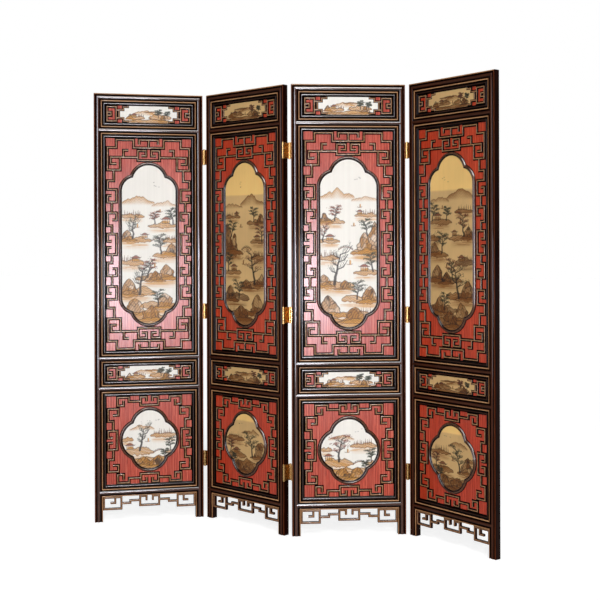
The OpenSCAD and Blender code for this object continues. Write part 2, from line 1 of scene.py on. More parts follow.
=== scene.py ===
"""Lacquered folding screen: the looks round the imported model.

The frame members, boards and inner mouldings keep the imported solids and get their
finishes. The frets, aprons, window mouldings and pictures are new surfaces that stand
for their plain solids. Sizes are in millimetres in a panel's own frame: x from its left
edge, y = 0 at the middle of its thickness with the front towards -y, z from the floor.
"""
import math

import bpy
import numpy as np
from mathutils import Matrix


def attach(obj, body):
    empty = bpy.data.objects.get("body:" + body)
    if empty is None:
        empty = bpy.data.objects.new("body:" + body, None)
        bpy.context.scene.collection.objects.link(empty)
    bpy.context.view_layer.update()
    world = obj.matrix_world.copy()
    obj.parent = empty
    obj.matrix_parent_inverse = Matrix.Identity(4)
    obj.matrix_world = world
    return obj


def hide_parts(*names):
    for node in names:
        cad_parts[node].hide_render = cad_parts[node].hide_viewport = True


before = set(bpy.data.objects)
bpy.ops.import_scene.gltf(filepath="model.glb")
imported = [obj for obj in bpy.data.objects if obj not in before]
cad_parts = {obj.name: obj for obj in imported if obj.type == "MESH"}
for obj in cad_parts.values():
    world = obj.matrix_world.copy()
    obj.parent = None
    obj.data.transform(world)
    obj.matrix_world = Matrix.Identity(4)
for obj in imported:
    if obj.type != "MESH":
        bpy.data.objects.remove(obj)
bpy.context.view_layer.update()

bl_info = {
    "name": "Lacquered Folding Screen",
    "version": (1, 0, 0),
    "blender": (4, 5, 0),
    "location": "View3D > Sidebar > Screen",
    "description": "Finishes, frets, mouldings and pictures of a four-panel folding screen",
    "category": "Add Mesh",
}

# ------------------------------------------------------------------ sizes, mm

MM = 0.001
PANELS = (1, 2, 3, 4)
# On these panels the boards' red and the pictures' ivory, against the orange red and the tan of panels 2
# and 4, are lit and shaded copies of one lacquer and one ground: painted light and shade
PALE = (1, 3)  # Panels that face the window: ivory pictures, rosier boards, full gloss
PANEL_W, FRAME_T = 465.0, 28.0
STILE_W, RAIL_H = 34.0, 34.0
FIELDS = ((140.0, 410.0), (584.0, 95.0), (713.0, 943.0), (1690.0, 106.0))
LOWER, MIDDLE, TALL, TOP = range(4)
RAIL_MIDDLES = tuple(z + RAIL_H / 2 for z in (106.0, 550.0, 679.0, 1656.0, 1796.0))
FRONT_Y = -FRAME_T / 2
BOARD_Y = FRONT_Y + 10
MOULDING_W, MOULDING_T = 17.0, 7.5
GROUND_D, BEAD_W, BEAD_DROP = 3.6, 5.4, 0.8
HINGE_GAP, KNUCKLE_R = 11.0, 4.8
PIN_OUT = FRAME_T / 2 + KNUCKLE_R + 0.2
FOLDS = (55.3, 47.0, 56.6)
OPENING_W = PANEL_W - 2 * STILE_W
FIELD_W = OPENING_W - 2 * MOULDING_W
TALL_WINDOW = {"w": 229.0, "h": 680.0, "lobe_r": 69.5, "side_r": 58.0, "rise": 52.0}
LOWER_WINDOW = {"w": 229.0, "h": 249.0, "lobe_r": 69.0, "side_r": 77.0}
WINDOW_MOULD_W = 15.0
PLAQUE_T, PLAQUE_GAP = 3.0, 0.3
APRON_H, APRON_T, APRON_SET = 58.0, 12.0, 5.0


def turned(v, degrees):
    """v turned about z, counterclockwise."""
    a = math.radians(degrees)
    c, s = math.cos(a), math.sin(a)
    return np.array([v[0] * c - v[1] * s, v[0] * s + v[1] * c])


def panel_places():
    """(headings, corners) of the panels, with the plan's extent centred on the origin. Each
    corner follows the last one over the pin that the pair closes about: corner + the way to
    the pin on one panel - the way to it on the next."""
    first = (3 * FOLDS[0] - 2 * FOLDS[1] + FOLDS[2]) / 4
    heads = np.cumsum([first, -FOLDS[0], FOLDS[1], -FOLDS[2]])
    corners = [np.zeros(2)]
    for i, side in enumerate((-1, 1, -1)):
        corners.append(corners[i]
                       + turned((PANEL_W + HINGE_GAP / 2, side * PIN_OUT), heads[i])
                       - turned((-HINGE_GAP / 2, side * PIN_OUT), heads[i + 1]))
    rise = GROUND_D - BEAD_DROP
    bead_r = ((BEAD_W / 2) ** 2 + rise ** 2) / (2 * rise)
    discs = []
    for x in (0, PANEL_W):
        discs += [((x, FRAME_T / 2), 0), ((x, FRONT_Y + GROUND_D), 0),
                  ((abs(x - BEAD_W / 2), FRONT_Y + BEAD_DROP + bead_r), bead_r)]
    plan = [(corners[i] + turned(p, heads[i]), r) for i in range(4) for p, r in discs]
    pins = ((0, PANEL_W + HINGE_GAP / 2, -1), (1, -HINGE_GAP / 2, 1), (1, PANEL_W + HINGE_GAP / 2, -1),
            (1, PANEL_W + HINGE_GAP / 2, 1), (3, -HINGE_GAP / 2, -1), (3, -HINGE_GAP / 2, 1))
    plan += [(corners[i] + turned((x, s * PIN_OUT), heads[i]), KNUCKLE_R) for i, x, s in pins]
    low = np.min([p - r for p, r in plan], axis=0)
    high = np.max([p + r for p, r in plan], axis=0)
    return heads, [c - (low + high) / 2 for c in corners]


HEADINGS, CORNERS = panel_places()


def in_row(points, panel):
    """Panel millimetres to the row frame's metres: turned by the panel's heading, then moved
    to its corner."""
    a = math.radians(HEADINGS[panel - 1])
    turn = np.array([[math.cos(a), math.sin(a), 0], [-math.sin(a), math.cos(a), 0], [0, 0, 1]])
    return (points @ turn + np.append(CORNERS[panel - 1], 0)) * MM


# ------------------------------------------------------------------ colours and materials

# Gloss is the specular level: a full one, and one under the dust and wax in the quirks
FULL_GLOSS, DULL_GLOSS = 0.5, 0.04
# The best of the frame's reeds and of the planted mouldings, on the pale panels and the others
REED_GLOSS, BEAD_GLOSS = {True: 1.0, False: 0.14}, {True: 0.7, False: 0.15}
# Shares of that gloss on the reed, the quirks beside it and the outer bead
REED, QUIRK, OUTER = 0.8, 0.12, 0.1


def linear(hexed):
    """An sRGB hex colour as linear RGBA."""
    srgb = np.array([int(hexed[i:i + 2], 16) / 255 for i in (1, 3, 5)])
    rgb = np.where(srgb <= 0.04045, srgb / 12.92, ((srgb + 0.055) / 1.055) ** 2.4)
    return (*[float(v) for v in rgb], 1.0)


def add(tree, kind, inputs=(), out=0, stops=(), **settings):
    """Adds a ShaderNode of a kind, sets its properties and its colour ramp's stops, and fills
    its inputs, in order or by name, with values or links. Returns one of its outputs, or the
    node where it has none."""
    node = tree.nodes.new("ShaderNode" + kind)
    for key, value in settings.items():
        setattr(node, key, value)
    for key, value in inputs.items() if isinstance(inputs, dict) else enumerate(inputs):
        if isinstance(value, bpy.types.NodeSocket):
            tree.links.new(value, node.inputs[key])
        else:
            node.inputs[key].default_value = value
    for at, (place, level) in enumerate(stops):
        band = node.color_ramp.elements
        element = band[at] if at < len(band) else band.new(place)
        element.position = place
        element.color = (level,) * 3 + (1.0,) if isinstance(level, float) else level
    return node.outputs[out] if node.outputs else node


def in_panel_mm(tree, panel):
    """Object coordinates carried to a panel's own millimetres, by the reverse of in_row."""
    move = -turned(CORNERS[panel - 1], -HEADINGS[panel - 1])
    return add(tree, "Mapping", {
        "Vector": add(tree, "TexCoord", out="Object"), "Location": (move[0], move[1], 0),
        "Rotation": (0, 0, -math.radians(HEADINGS[panel - 1])), "Scale": (1 / MM,) * 3})


def in_mm(tree):
    """Object coordinates in millimetres."""
    return add(tree, "Mapping", {"Vector": add(tree, "TexCoord", out="Object"), "Scale": (1 / MM,) * 3})


def streaked(tree, point, size, detail=2.0, roughness=0.5):
    """A random pattern whose features measure about size (x, y, z) millimetres."""
    scaled = add(tree, "Mapping", {"Vector": point, "Scale": tuple(1 / s for s in size)})
    return add(tree, "TexNoise", {"Vector": scaled, "Scale": 1.0, "Detail": detail, "Roughness": roughness},
               out="Fac")


def new_material(name):
    """An empty material: itself, its tree and its output."""
    material = bpy.data.materials.new(name)
    material.use_nodes = True
    material.node_tree.nodes.clear()
    return material, material.node_tree, add(material.node_tree, "OutputMaterial")


def finished(tree, output, colour, roughness, height, relief, gloss=FULL_GLOSS, **fixed):
    """The shader at the end of a tree. The bump's height of 1 stands relief millimetres out."""
    normal = add(tree, "Bump", {"Height": height, "Strength": 1.0, "Distance": relief * MM})
    shader = add(tree, "BsdfPrincipled", {"Base Color": colour, "Roughness": roughness, "Normal": normal,
                                          "Specular IOR Level": gloss, **fixed})
    tree.links.new(shader, output.inputs["Surface"])


def frame_lacquer(panel, colours, upright):
    """Black lacquer on hardwood, sprayed, polished and rubbed back along its edges: the beads
    beside the opening are worn to tan and the outer bead to red brown, the quirks stay black,
    and the broad reed between them is thin and brown on its crown, where the lighter brown is
    also a painted sheen."""
    member = "stiles" if upright else "rails"
    material, tree, output = new_material(f"polished_black_lacquer_{member}_{panel}")
    c, point = colours, in_panel_mm(tree, panel)
    part = add(tree, "SeparateXYZ", (point,)).node.outputs
    if upright:
        # From the opening, 0, over bead, quirk, reed, quirk and bead to the outer edge, 1
        half = add(tree, "Math", (part[0], PANEL_W / 2), operation="SUBTRACT")
        half = add(tree, "Math", (half,), operation="ABSOLUTE")
        across = add(tree, "MapRange", (half, PANEL_W / 2 - STILE_W, PANEL_W / 2, 0.0, 1.0))
        along = (5.0, 5.0, 110.0)
        shine = ((0.0, QUIRK), (0.3, QUIRK), (0.36, REED), (0.68, REED), (0.74, OUTER))
        # The lighter brown from 0.42 to 0.6, on the reed's crown, is thin lacquer and a painted sheen
        bands = ((0.0, c.rubbed), (0.05, c.gold), (0.11, c.rubbed), (0.15, c.black), (0.28, c.black),
                 (0.34, c.black_warm), (0.42, c.sheen_and_thin_brown), (0.6, c.sheen_and_thin_brown), (0.68, c.black_warm),
                 (0.72, c.black), (0.84, c.black), (0.87, c.russet), (0.95, c.russet), (1.0, c.black_warm))
    else:
        # From the middle of the nearest rail, 0, over its reed, quirk and bead to its edge, 1
        near = None
        for middle in RAIL_MIDDLES:
            away = add(tree, "Math", (part[2], middle), operation="SUBTRACT")
            away = add(tree, "Math", (away,), operation="ABSOLUTE")
            near = away if near is None else add(tree, "Math", (near, away), operation="MINIMUM")
        across = add(tree, "MapRange", (near, 0.0, RAIL_H / 2, 0.0, 1.0))
        along = (110.0, 5.0, 5.0)
        shine = ((0.0, REED), (0.34, REED), (0.42, QUIRK))
        # The lighter brown from 0 to 0.14, on the rail reed's crown, is thin lacquer and a painted sheen
        bands = ((0.0, c.sheen_and_thin_brown), (0.14, c.sheen_and_thin_brown), (0.3, c.black_warm), (0.42, c.black), (0.68, c.black),
                 (0.74, c.rubbed), (0.86, c.gold), (0.94, c.gold), (1.0, c.rubbed))
    banded = add(tree, "ValToRGB", (across,), stops=bands)
    patchy = streaked(tree, point, along, 3.0, 0.6)
    kept = add(tree, "MapRange", (patchy, 0.3, 0.52, 0.45, 1.0))
    # The flats beside the reed keep the dust that dulls them, the sides are dull, and the back
    # is polished
    ground = FRONT_Y + GROUND_D
    front = add(tree, "Math", (part[1], ground + 0.3), operation="LESS_THAN")
    kept = add(tree, "Math", (kept, front), operation="MULTIPLY")
    best = REED_GLOSS[panel in PALE]
    gloss = add(tree, "MapRange", (part[1], ground - 0.7, ground - 0.1, best, best / 10))
    gloss = add(tree, "Math", (gloss, add(tree, "ValToRGB", (across,), stops=shine)), operation="MULTIPLY")
    sides = add(tree, "MapRange", (front, 0.0, 1.0, 0.1, 0.0))
    gloss = add(tree, "Math", (gloss, sides), operation="MAXIMUM")
    behind = add(tree, "MapRange", (part[1], -FRONT_Y - 0.5, -FRONT_Y - 0.1, 0.0, 0.4))
    gloss = add(tree, "Math", (gloss, behind), operation="MAXIMUM")
    thin = add(tree, "MapRange", (patchy, 0.35, 0.7, 0.0, 1.0))
    under = add(tree, "Mix", {0: thin, 6: c.black, 7: c.black_warm}, 2, data_type="RGBA")
    colour = add(tree, "Mix", {0: kept, 6: under, 7: banded}, 2, data_type="RGBA")
    rough = add(tree, "MapRange", (patchy, 0.3, 0.7, 0.08, 0.14))
    grain = streaked(tree, point, tuple(s / 3 for s in along), 2.0)
    finished(tree, output, colour, rough, grain, 0.004, gloss)
    return material


def inner_lacquer(panel, colours):
    """Black lacquer on the planted mouldings: only the bead's crown is polished, and thin and
    brown there, and that lighter crown is also a painted highlight. The flat and the cove
    beside it are as black as they were sprayed."""
    material, tree, output = new_material(f"sprayed_black_lacquer_{panel}")
    point = in_panel_mm(tree, panel)
    depth = add(tree, "SeparateXYZ", (point,), out=1)
    bead = BOARD_Y - MOULDING_T
    crown = add(tree, "MapRange", (depth, bead + 1.1, bead, 0.0, 0.9))
    patchy = add(tree, "MapRange", (streaked(tree, point, (14.0, 14.0, 14.0), 3.0), 0.3, 0.6, 0.4, 1.0))
    worn = add(tree, "Math", (crown, patchy), operation="MULTIPLY")
    # The crown's lighter brown is thin lacquer and a painted highlight
    colour = add(tree, "Mix", {0: worn, 6: colours.black, 7: colours.sheen_and_thin_brown}, 2, data_type="RGBA")
    rough = add(tree, "MapRange", (patchy, 0.4, 1.0, 0.14, 0.08))
    gloss = add(tree, "MapRange", (depth, bead + 1.5, bead + 0.7, DULL_GLOSS, BEAD_GLOSS[panel in PALE]))
    finished(tree, output, colour, rough, streaked(tree, point, (6.0, 6.0, 6.0)), 0.012, gloss)
    return material


def board_lacquer(panel, colours, red, light, deep):
    """Red lacquer wiped over a straight-grained board: upright streaks 3 to 5 mm wide show
    through it, with short dark pores, and it has a satin gloss. The back is black lacquer."""
    material, tree, output = new_material(f"wiped_red_lacquer_{panel}")
    point = in_panel_mm(tree, panel)
    depth = add(tree, "SeparateXYZ", (point,), out=1)
    streaks = streaked(tree, point, (4.5, 40.0, 230.0), 5.0, 0.7)
    tone = add(tree, "ValToRGB", (streaks,), stops=((0.34, deep), (0.5, red), (0.68, light)))
    broad = add(tree, "MapRange", (streaked(tree, point, (38.0, 60.0, 420.0), 2.0), 0.45, 0.75, 0.0, 0.45))
    tone = add(tree, "Mix", {0: broad, 6: tone, 7: deep}, 2, data_type="RGBA")
    pores = add(tree, "MapRange", (streaked(tree, point, (1.6, 20.0, 38.0), 2.0), 0.3, 0.4, 0.6, 0.0))
    tone = add(tree, "Mix", {0: pores, 6: tone, 7: colours.pore}, 2, data_type="RGBA")
    behind = add(tree, "Math", (depth, BOARD_Y + 0.5), operation="GREATER_THAN")
    thin = add(tree, "MapRange", (streaks, 0.4, 0.7, 0.0, 1.0))
    dull = add(tree, "Mix", {0: thin, 6: colours.black, 7: colours.sheen_and_thin_brown}, 2, data_type="RGBA")
    colour = add(tree, "Mix", {0: behind, 6: tone, 7: dull}, 2, data_type="RGBA")
    rough = add(tree, "MapRange", (streaks, 0.3, 0.7, 0.2, 0.28))
    finished(tree, output, colour, rough, streaked(tree, point, (4.5, 40.0, 230.0), 1.0), 0.025)
    return material


def rubbed_lacquer(name, dark, high, low):
    """Brown-black lacquer rubbed through on the high places, which the piece's own wear
    attribute marks from 0 in the quirks to 1 on the crowns: they shine between the tones low
    and high in patches about 10 mm long, and the quirks stay dark and dull."""
    material, tree, output = new_material(name)
    place = in_mm(tree)
    wear = add(tree, "Attribute", out="Fac", attribute_name="wear")
    patchy = streaked(tree, place, (10.0, 10.0, 10.0), 4.0, 0.6)
    kept = add(tree, "MapRange", (patchy, 0.3, 0.5, 0.55, 1.0))
    worn = add(tree, "Math", (wear, kept), operation="MULTIPLY")
    tone = add(tree, "Mix", {0: patchy, 6: low, 7: high}, 2, data_type="RGBA")
    # Where the wear is 0 the colour is the dark one: on the thin line round each fret strip this dark is a
    # painted shadow
    colour = add(tree, "Mix", {0: worn, 6: dark, 7: tone}, 2, data_type="RGBA")
    rough = add(tree, "MapRange", (patchy, 0.3, 0.7, 0.14, 0.26))
    gloss = add(tree, "MapRange", (wear, 0.0, 0.15, DULL_GLOSS, FULL_GLOSS))
    finished(tree, output, colour, rough, streaked(tree, place, (5.0, 5.0, 5.0), 2.0), 0.02, gloss)
    return material


def picture_lacquer():
    """A painting on a smooth ground under clear satin lacquer, with fine upright brush marks in
    the lacquer. The painting is the piece's own colour attribute."""
    material, tree, output = new_material("painted_satin_lacquer")
    place = in_mm(tree)
    painting = add(tree, "Attribute", out="Color", attribute_name="painting")
    brushed = streaked(tree, place, (2.5, 2.5, 160.0), 3.0)
    rough = add(tree, "MapRange", (brushed, 0.3, 0.7, 0.38, 0.5))
    finished(tree, output, painting, rough, brushed, 0.02, 0.3)
    return material


def polished_brass(colours):
    """Rolled and turned brass, polished, with faint handling marks about 7 mm across."""
    material, tree, output = new_material("polished_brass")
    place = in_mm(tree)
    marks = streaked(tree, place, (7.0, 7.0, 7.0), 4.0, 0.6)
    colour = add(tree, "Mix", {0: marks, 6: colours.brass, 7: colours.brass_dark}, 2, data_type="RGBA")
    rough = add(tree, "MapRange", (marks, 0.3, 0.7, 0.2, 0.36))
    finished(tree, output, colour, rough, streaked(tree, place, (1.0, 1.0, 1.0)), 0.02, Metallic=1.0)
    return material


# ------------------------------------------------------------------ surfaces


def grid_faces(rows, cols, ring):
    """Quads of a grid of rows x cols points, whose columns close into a ring or don't."""
    r, c = np.meshgrid(np.arange(rows - 1), np.arange(cols if ring else cols - 1), indexing="ij")
    a, b = r * cols + c, r * cols + (c + 1) % cols
    return np.stack([a, b, b + cols, a + cols], axis=-1).reshape(-1, 4)


def closed_bar(grid):
    """A bar of rows of ring points: the grid's quads and a flat face on each end. Returns
    (points, faces), facing outwards by the sign of its volume, the sum over its triangles
    of a . (b x c)."""
    rows, cols = grid.shape[:2]
    points = grid.reshape(-1, 3)
    quads = grid_faces(rows, cols, True)
    ends = np.arange(cols)[::-1], np.arange((rows - 1) * cols, rows * cols)
    fans = [np.stack([np.full(cols - 2, end[0]), end[1:-1], end[2:]], axis=1) for end in ends]
    triangles = np.concatenate([quads[:, [0, 1, 2]], quads[:, [0, 2, 3]], *fans])
    a, b, c = np.moveaxis(points[triangles] - points.mean(0), 1, 0)
    faces = quads.tolist() + [end.tolist() for end in ends]
    return points, faces if (a * np.cross(b, c)).sum() > 0 else [f[::-1] for f in faces]


SHARP = math.radians(35.0)


def new_piece(name, panel, parts, material, attribute, values):
    """Makes one mesh object of parts [(points, faces), ...] in a panel's millimetres, with its
    place in its mesh and an attribute's values on its points, and lets it ride on the panel."""
    points = np.concatenate([p for p, _ in parts])
    starts = np.cumsum([0] + [len(p) for p, _ in parts[:-1]])
    faces = [[i + s for i in f] for (_, fs), s in zip(parts, starts) for f in fs]
    mesh = bpy.data.meshes.new(name)
    mesh.from_pydata(in_row(points, panel).tolist(), [], faces)
    mesh.shade_smooth()
    mesh.set_sharp_from_angle(angle=SHARP)
    kind, field = ("FLOAT", "value") if values.ndim == 1 else ("FLOAT_COLOR", "color")
    layer = mesh.attributes.new(attribute, kind, "POINT")
    layer.data.foreach_set(field, values.astype(np.float32).ravel())
    mesh.materials.append(material)
    piece = bpy.data.objects.new(name, mesh)
    bpy.context.scene.collection.objects.link(piece)
    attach(piece, f"panel_{panel}")
    return piece


# ------------------------------------------------------------------ strips of frets and aprons

# Each fret is drawn as a quarter in millimetres: x from the field's left edge to its upright
# axis, y from its level axis up. A design pair is where the window moulding's edge lies and
# where the axis or the field's end does, for carried() to lay on the real ones
DESIGN_X = (49.0, 178.5)
TALL_DESIGN_Y = (353.5, 453.0)
TALL_FRET = (
    ((138, 432), (138, 447), (178.5, 447)),
    ((178.5, 447), (178.5, 413)),
    ((178.5, 413), (114, 413), (114, 447), (41, 447), (41, 413), (6, 413), (6, 317), (57, 317),
     (57, 372), (19, 372), (19, 344), (38, 344)),
    ((57, 372), (132, 372)),
    ((71, 372), (71, 402), (88, 402)),
    ((178.5, 359), (132, 359), (132, 401), (167, 401), (167, 379), (151, 379)),
    ((31, 317), (31, 271), (6, 271), (6, 234), (41, 234), (41, 180), (6, 180), (6, 208), (18, 208)),
    ((23, 180), (23, 134)),
    ((28, 104), (41, 104), (41, 134), (6, 134), (6, 79), (23, 79), (23, 44)),
    ((18, 13), (6, 13), (6, 44), (41, 44), (41, 0)))
LOWER_DESIGN_Y = (139.5, 187.0)
LOWER_FRET = (
    ((68, 165), (68, 147), (43, 147), (43, 182), (91, 182), (91, 164), (141, 164)),
    ((166, 167), (166, 182), (141, 182), (141, 147), (178.5, 147)),
    ((28, 107), (46, 107), (46, 134), (6, 134), (6, 82), (26, 82), (26, 40)),
    ((21, 11), (6, 11), (6, 40), (41, 40), (41, 0)))
# The corners that a stepped plaque's outline follows in its fret's drawing
CORNER_STEPS = ((55.0, 15.0), (73.0, 27.0), (92.0, 32.0))
CARTOUCHE_FRET = (
    ((5, 0), (5, 27), (43, 27), (43, 0)),
    ((5, 6), (22, 6), (22, 0)),
    ((43, 15), (73, 15), (73, 27), (92, 27), (92, 32)),
    ((55, 15), (55, 0)))
# Half an apron, y down from the rail. It is drawn for an opening 397 mm wide, with the middle
# of its lowest strip 53 mm down
APRON_DESIGN = (397.0, 53.0)
APRON_FRET = (
    ((4.5, 0), (4.5, 53), (78, 53), (78, 0)),
    ((4.5, 4.5), (78, 4.5)),
    ((52, 4.5), (52, 28), (36, 28)),
    ((78, 31), (116, 31), (116, 21), (158, 21)),
    ((158, 0), (158, 43), (198.5, 43)),
    ((158, 4.5), (185, 4.5), (185, 19)))


def carried(v, design, real):
    """A design's distance carried to the field, straight to the window's edge and straight on
    from there to the end."""
    v = np.asarray(v, float)
    beyond = real[0] + (v - design[0]) * (real[1] - real[0]) / max(design[1] - design[0], 1e-9)
    return np.where(v <= design[0], v * real[0] / design[0], beyond)


def strip(path, w, section, free):
    """A bar along a square-cornered path in (x, z): at each corner the section's across is
    laid along the sum of the two sides' normals, which mitres it. section is [across / half
    width, out]. Free ends run on by half a width. Returns a grid of points (x, out, z)."""
    path = np.asarray(path, float)
    way = np.diff(path, axis=0)
    way /= np.linalg.norm(way, axis=1)[:, None]
    normal = np.stack([-way[:, 1], way[:, 0]], axis=1)
    across = np.concatenate([normal[:1], normal[:-1] + normal[1:], normal[-1:]])
    path = path.copy()
    path[0] -= way[0] * w / 2 * free[0]
    path[-1] += way[-1] * w / 2 * free[1]
    flat = path[:, None] + across[:, None] * section[None, :, :1] * w / 2
    out = np.broadcast_to(section[None, :, 1], flat.shape[:2])
    return np.stack([flat[..., 0], out, flat[..., 1]], axis=-1)


def ends_free(paths, at, middle_x):
    """1 for an end of paths[at] that stands free, 0 for one on another strip, on an axis of
    the design or on the field's edge: its distance to every other segment is over 1 mm."""
    free = []
    for end in (np.array(paths[at][0], float), np.array(paths[at][-1], float)):
        touches = end[0] >= middle_x or end[1] <= 0
        for k, other in enumerate(paths):
            a, b = np.array(other[:-1], float), np.array(other[1:], float)
            t = np.clip(((end - a) * (b - a)).sum(1) / ((b - a) ** 2).sum(1), 0, 1)
            d = np.linalg.norm(end - a - t[:, None] * (b - a), axis=1)
            ends = np.minimum(np.linalg.norm(end - a, axis=1), np.linalg.norm(end - b, axis=1))
            touches = touches or bool((d < 1).any() if k != at else ((d < 1) & (ends > 1)).any())
        free.append(0.0 if touches else 1.0)
    return free


# Across / half width, share of the thickness, wear: a thin dark line of lacquer on the board,
# whose dark outline round each strip is a painted shadow, the side, a ledge and the rounded
# crown
CROWN = np.array([(-1.6, 0, 0), (-1.6, 0.03, 0), (-1.04, 0.05, 0), (-1, 0.5, 0), (-0.93, 0.6, 0),
                  (-0.74, 0.62, 0), (-0.67, 0.7, 0), (-0.6, 0.8, 0.1), (-0.51, 0.89, 0.3),
                  (-0.38, 0.95, 0.8), (-0.2, 0.99, 1), (0, 1, 1)])
CROWN = np.concatenate([CROWN, CROWN[-2::-1] * (-1, 1, 1)])
APRON_CROWN = np.array([(-1, 0, 0), (-1, 0.82, 0), (-0.92, 0.9, 0.2), (-0.72, 0.91, 0), (-0.6, 0.95, 0.4),
                        (-0.42, 0.99, 1), (-0.2, 1.0, 0.8), (0, 1, 0.4)])
APRON_CROWN = np.concatenate([APRON_CROWN, APRON_CROWN[-2::-1] * (-1, 1, 1)])


def fret_parts(paths, fit_x, fit_z, middle, half_h, w, thick, foot_y, crown, mirrored_z=True):
    """A fret's bars and their wear. The quarter design is carried to the field and mirrored
    about its two axes. middle is the field's middle (x, z)."""
    section = np.stack([crown[:, 0], foot_y - crown[:, 1] * thick], axis=1)
    parts, wear = [], []
    real = [np.stack([carried([p[0] for p in path], *fit_x), carried([p[1] for p in path], *fit_z)], axis=1)
            for path in paths]
    half_w = fit_x[1][1]
    for at, path in enumerate(real):
        free = ends_free(real, at, half_w - 0.1)
        on_axis = path[0][0] > half_w - 0.1 and path[-1][0] > half_w - 0.1
        edge = abs(path[-1][1] - half_h) < 0.1
        grid = strip(path, w, section, (free[0], 0.0 if edge else free[1]))
        for mx in (1,) if on_axis else (1, -1):
            for mz in (1, -1) if mirrored_z else (-1,):
                mirrored = grid.copy()
                mirrored[..., 0] = middle[0] + mx * (grid[..., 0] - half_w)
                mirrored[..., 2] = middle[1] + mz * grid[..., 2]
                parts.append(closed_bar(mirrored))
                wear.append(np.tile(crown[:, 2], len(path)))
    return parts, np.concatenate(wear)


def window_fit(window, field):
    """(x, z) fits of a fret round a window: [way to the window moulding's edge, way to the end]."""
    x = ((FIELD_W - window["w"]) / 2 - WINDOW_MOULD_W, FIELD_W / 2)
    return x, (window["h"] / 2 + WINDOW_MOULD_W, FIELDS[field][1] / 2 - MOULDING_W)


def field_middle(field):
    """The middle (x, z) of a field."""
    return PANEL_W / 2, FIELDS[field][0] + FIELDS[field][1] / 2


# ------------------------------------------------------------------ windows


def window_arcs(window, grow):
    """The arcs of a lobed outline grown by grow, for its first quarter from the top to the
    right: centre, radius and the first and last angle of each. Two arcs meet where their
    circles cross: along the line of centres by (ra^2 - rb^2 + d^2) / 2d, then square to it."""
    lobe = np.array([0.0, window["h"] / 2 - window["lobe_r"]])
    if "rise" in window:
        side = np.array([window["w"] / 2 - window["side_r"],
                         window["h"] / 2 - window["rise"] - window["side_r"]])
    else:
        side = np.array([window["w"] / 2 - window["side_r"], 0.0])
    ra, rb = window["lobe_r"] + grow, window["side_r"] + grow
    d = np.linalg.norm(side - lobe)
    u = (side - lobe) / d
    along = (ra * ra - rb * rb + d * d) / (2 * d)
    meet = lobe + along * u + math.sqrt(ra * ra - along * along) * np.array([-u[1], u[0]])
    angle = [math.atan2(*(meet - c)[::-1]) for c in (lobe, side)]
    return (lobe, ra, math.pi / 2, angle[0]), (side, rb, angle[1], 0.0)


ARC_STEPS = 28


def window_outline(window, grow):
    """Points of the whole outline, grown by grow, clockwise from the top: each arc's centre +
    radius times (cos, sin) of evenly spaced angles, the quarter mirrored to the other three."""
    quarter = []
    for centre, r, first, last in window_arcs(window, grow):
        a = np.linspace(first, last, ARC_STEPS)
        quarter.append(centre + r * np.stack([np.cos(a), np.sin(a)], axis=1))
    quarter = np.concatenate(quarter)
    right = np.concatenate([quarter, quarter[::-1] * (1, -1)])
    return np.concatenate([right, right[::-1] * (-1, 1)])


WINDOW_WEAR = 0.8
# Across from the opening / width, out / half width, wear: a bead by the picture, a quirk, the roll
WINDOW_SECTION = np.array([
    (0, 0, 0), (0, 0.42, 0.1), (0.03, 0.5, 0.3), (0.09, 0.54, 0.4), (0.15, 0.5, 0.2), (0.19, 0.4, 0),
    (0.22, 0.4, 0), (0.27, 0.62, 0), (0.34, 0.82, 0.15), (0.43, 0.95, 0.45), (0.53, 1.0, 0.75),
    (0.63, 0.98, 0.95), (0.74, 0.88, 1.0), (0.84, 0.7, 0.75), (0.92, 0.46, 0.3), (0.98, 0.2, 0),
    (1, 0, 0)])


def window_moulding_part(window, middle, foot_y):
    """A moulding round a window: one outline for each point of the section, grown by its
    place across, so that its corners are mitred, and set out by its height."""
    rings = [window_outline(window, u * WINDOW_MOULD_W) for u in WINDOW_SECTION[:, 0]]
    out = foot_y - WINDOW_SECTION[:, 1] * WINDOW_MOULD_W / 2
    count = len(rings[0])
    grid = np.empty((len(rings), count, 3))
    for k, ring in enumerate(rings):
        grid[k, :, 0] = middle[0] + ring[:, 0]
        grid[k, :, 1] = out[k]
        grid[k, :, 2] = middle[1] + ring[:, 1]
    faces = grid_faces(len(rings), count, True)
    foot = np.stack([np.arange(count), (np.arange(count) + 1) % count], axis=1)
    last = (len(rings) - 1) * count
    closing = np.stack([foot[:, 1], foot[:, 0], last + foot[:, 0], last + foot[:, 1]], axis=1)
    faces = np.concatenate([faces, closing])
    return (grid.reshape(-1, 3), [f[::-1] for f in faces.tolist()]), np.repeat(WINDOW_SECTION[:, 2], count)


def half_widths(window, z):
    """Half the window's width at heights z from its middle: the farthest of the lobe's circle,
    the side circle and, between the shoulders, the straight side."""
    lobe_z = window["h"] / 2 - window["lobe_r"]
    side_x = window["w"] / 2 - window["side_r"]
    side_z = window["h"] / 2 - window["rise"] - window["side_r"] if "rise" in window else 0.0
    lobe = np.sqrt(np.clip(window["lobe_r"] ** 2 - (abs(z) - lobe_z) ** 2, 0, None))
    off = np.clip(abs(z) - side_z, 0, None)
    side = side_x + np.sqrt(np.clip(window["side_r"] ** 2 - off ** 2, 0, None))
    return np.where(off < window["side_r"], np.maximum(lobe, side), lobe)


# ------------------------------------------------------------------ pictures


def eased(low, high, v):
    """0 at low, 1 at high, with a smooth start and end."""
    t = np.clip((v - low) / (high - low), 0, 1)
    return t * t * (3 - 2 * t)


def soft(v):
    """0 outside a shape and 1 inside it, v being the distance inside in mm."""
    return eased(-0.8, 0.8, v)


def inked(v):
    """1 inside a brush stroke and 0 outside it, v being the distance outside in mm."""
    return eased(0.9, -0.6, v)


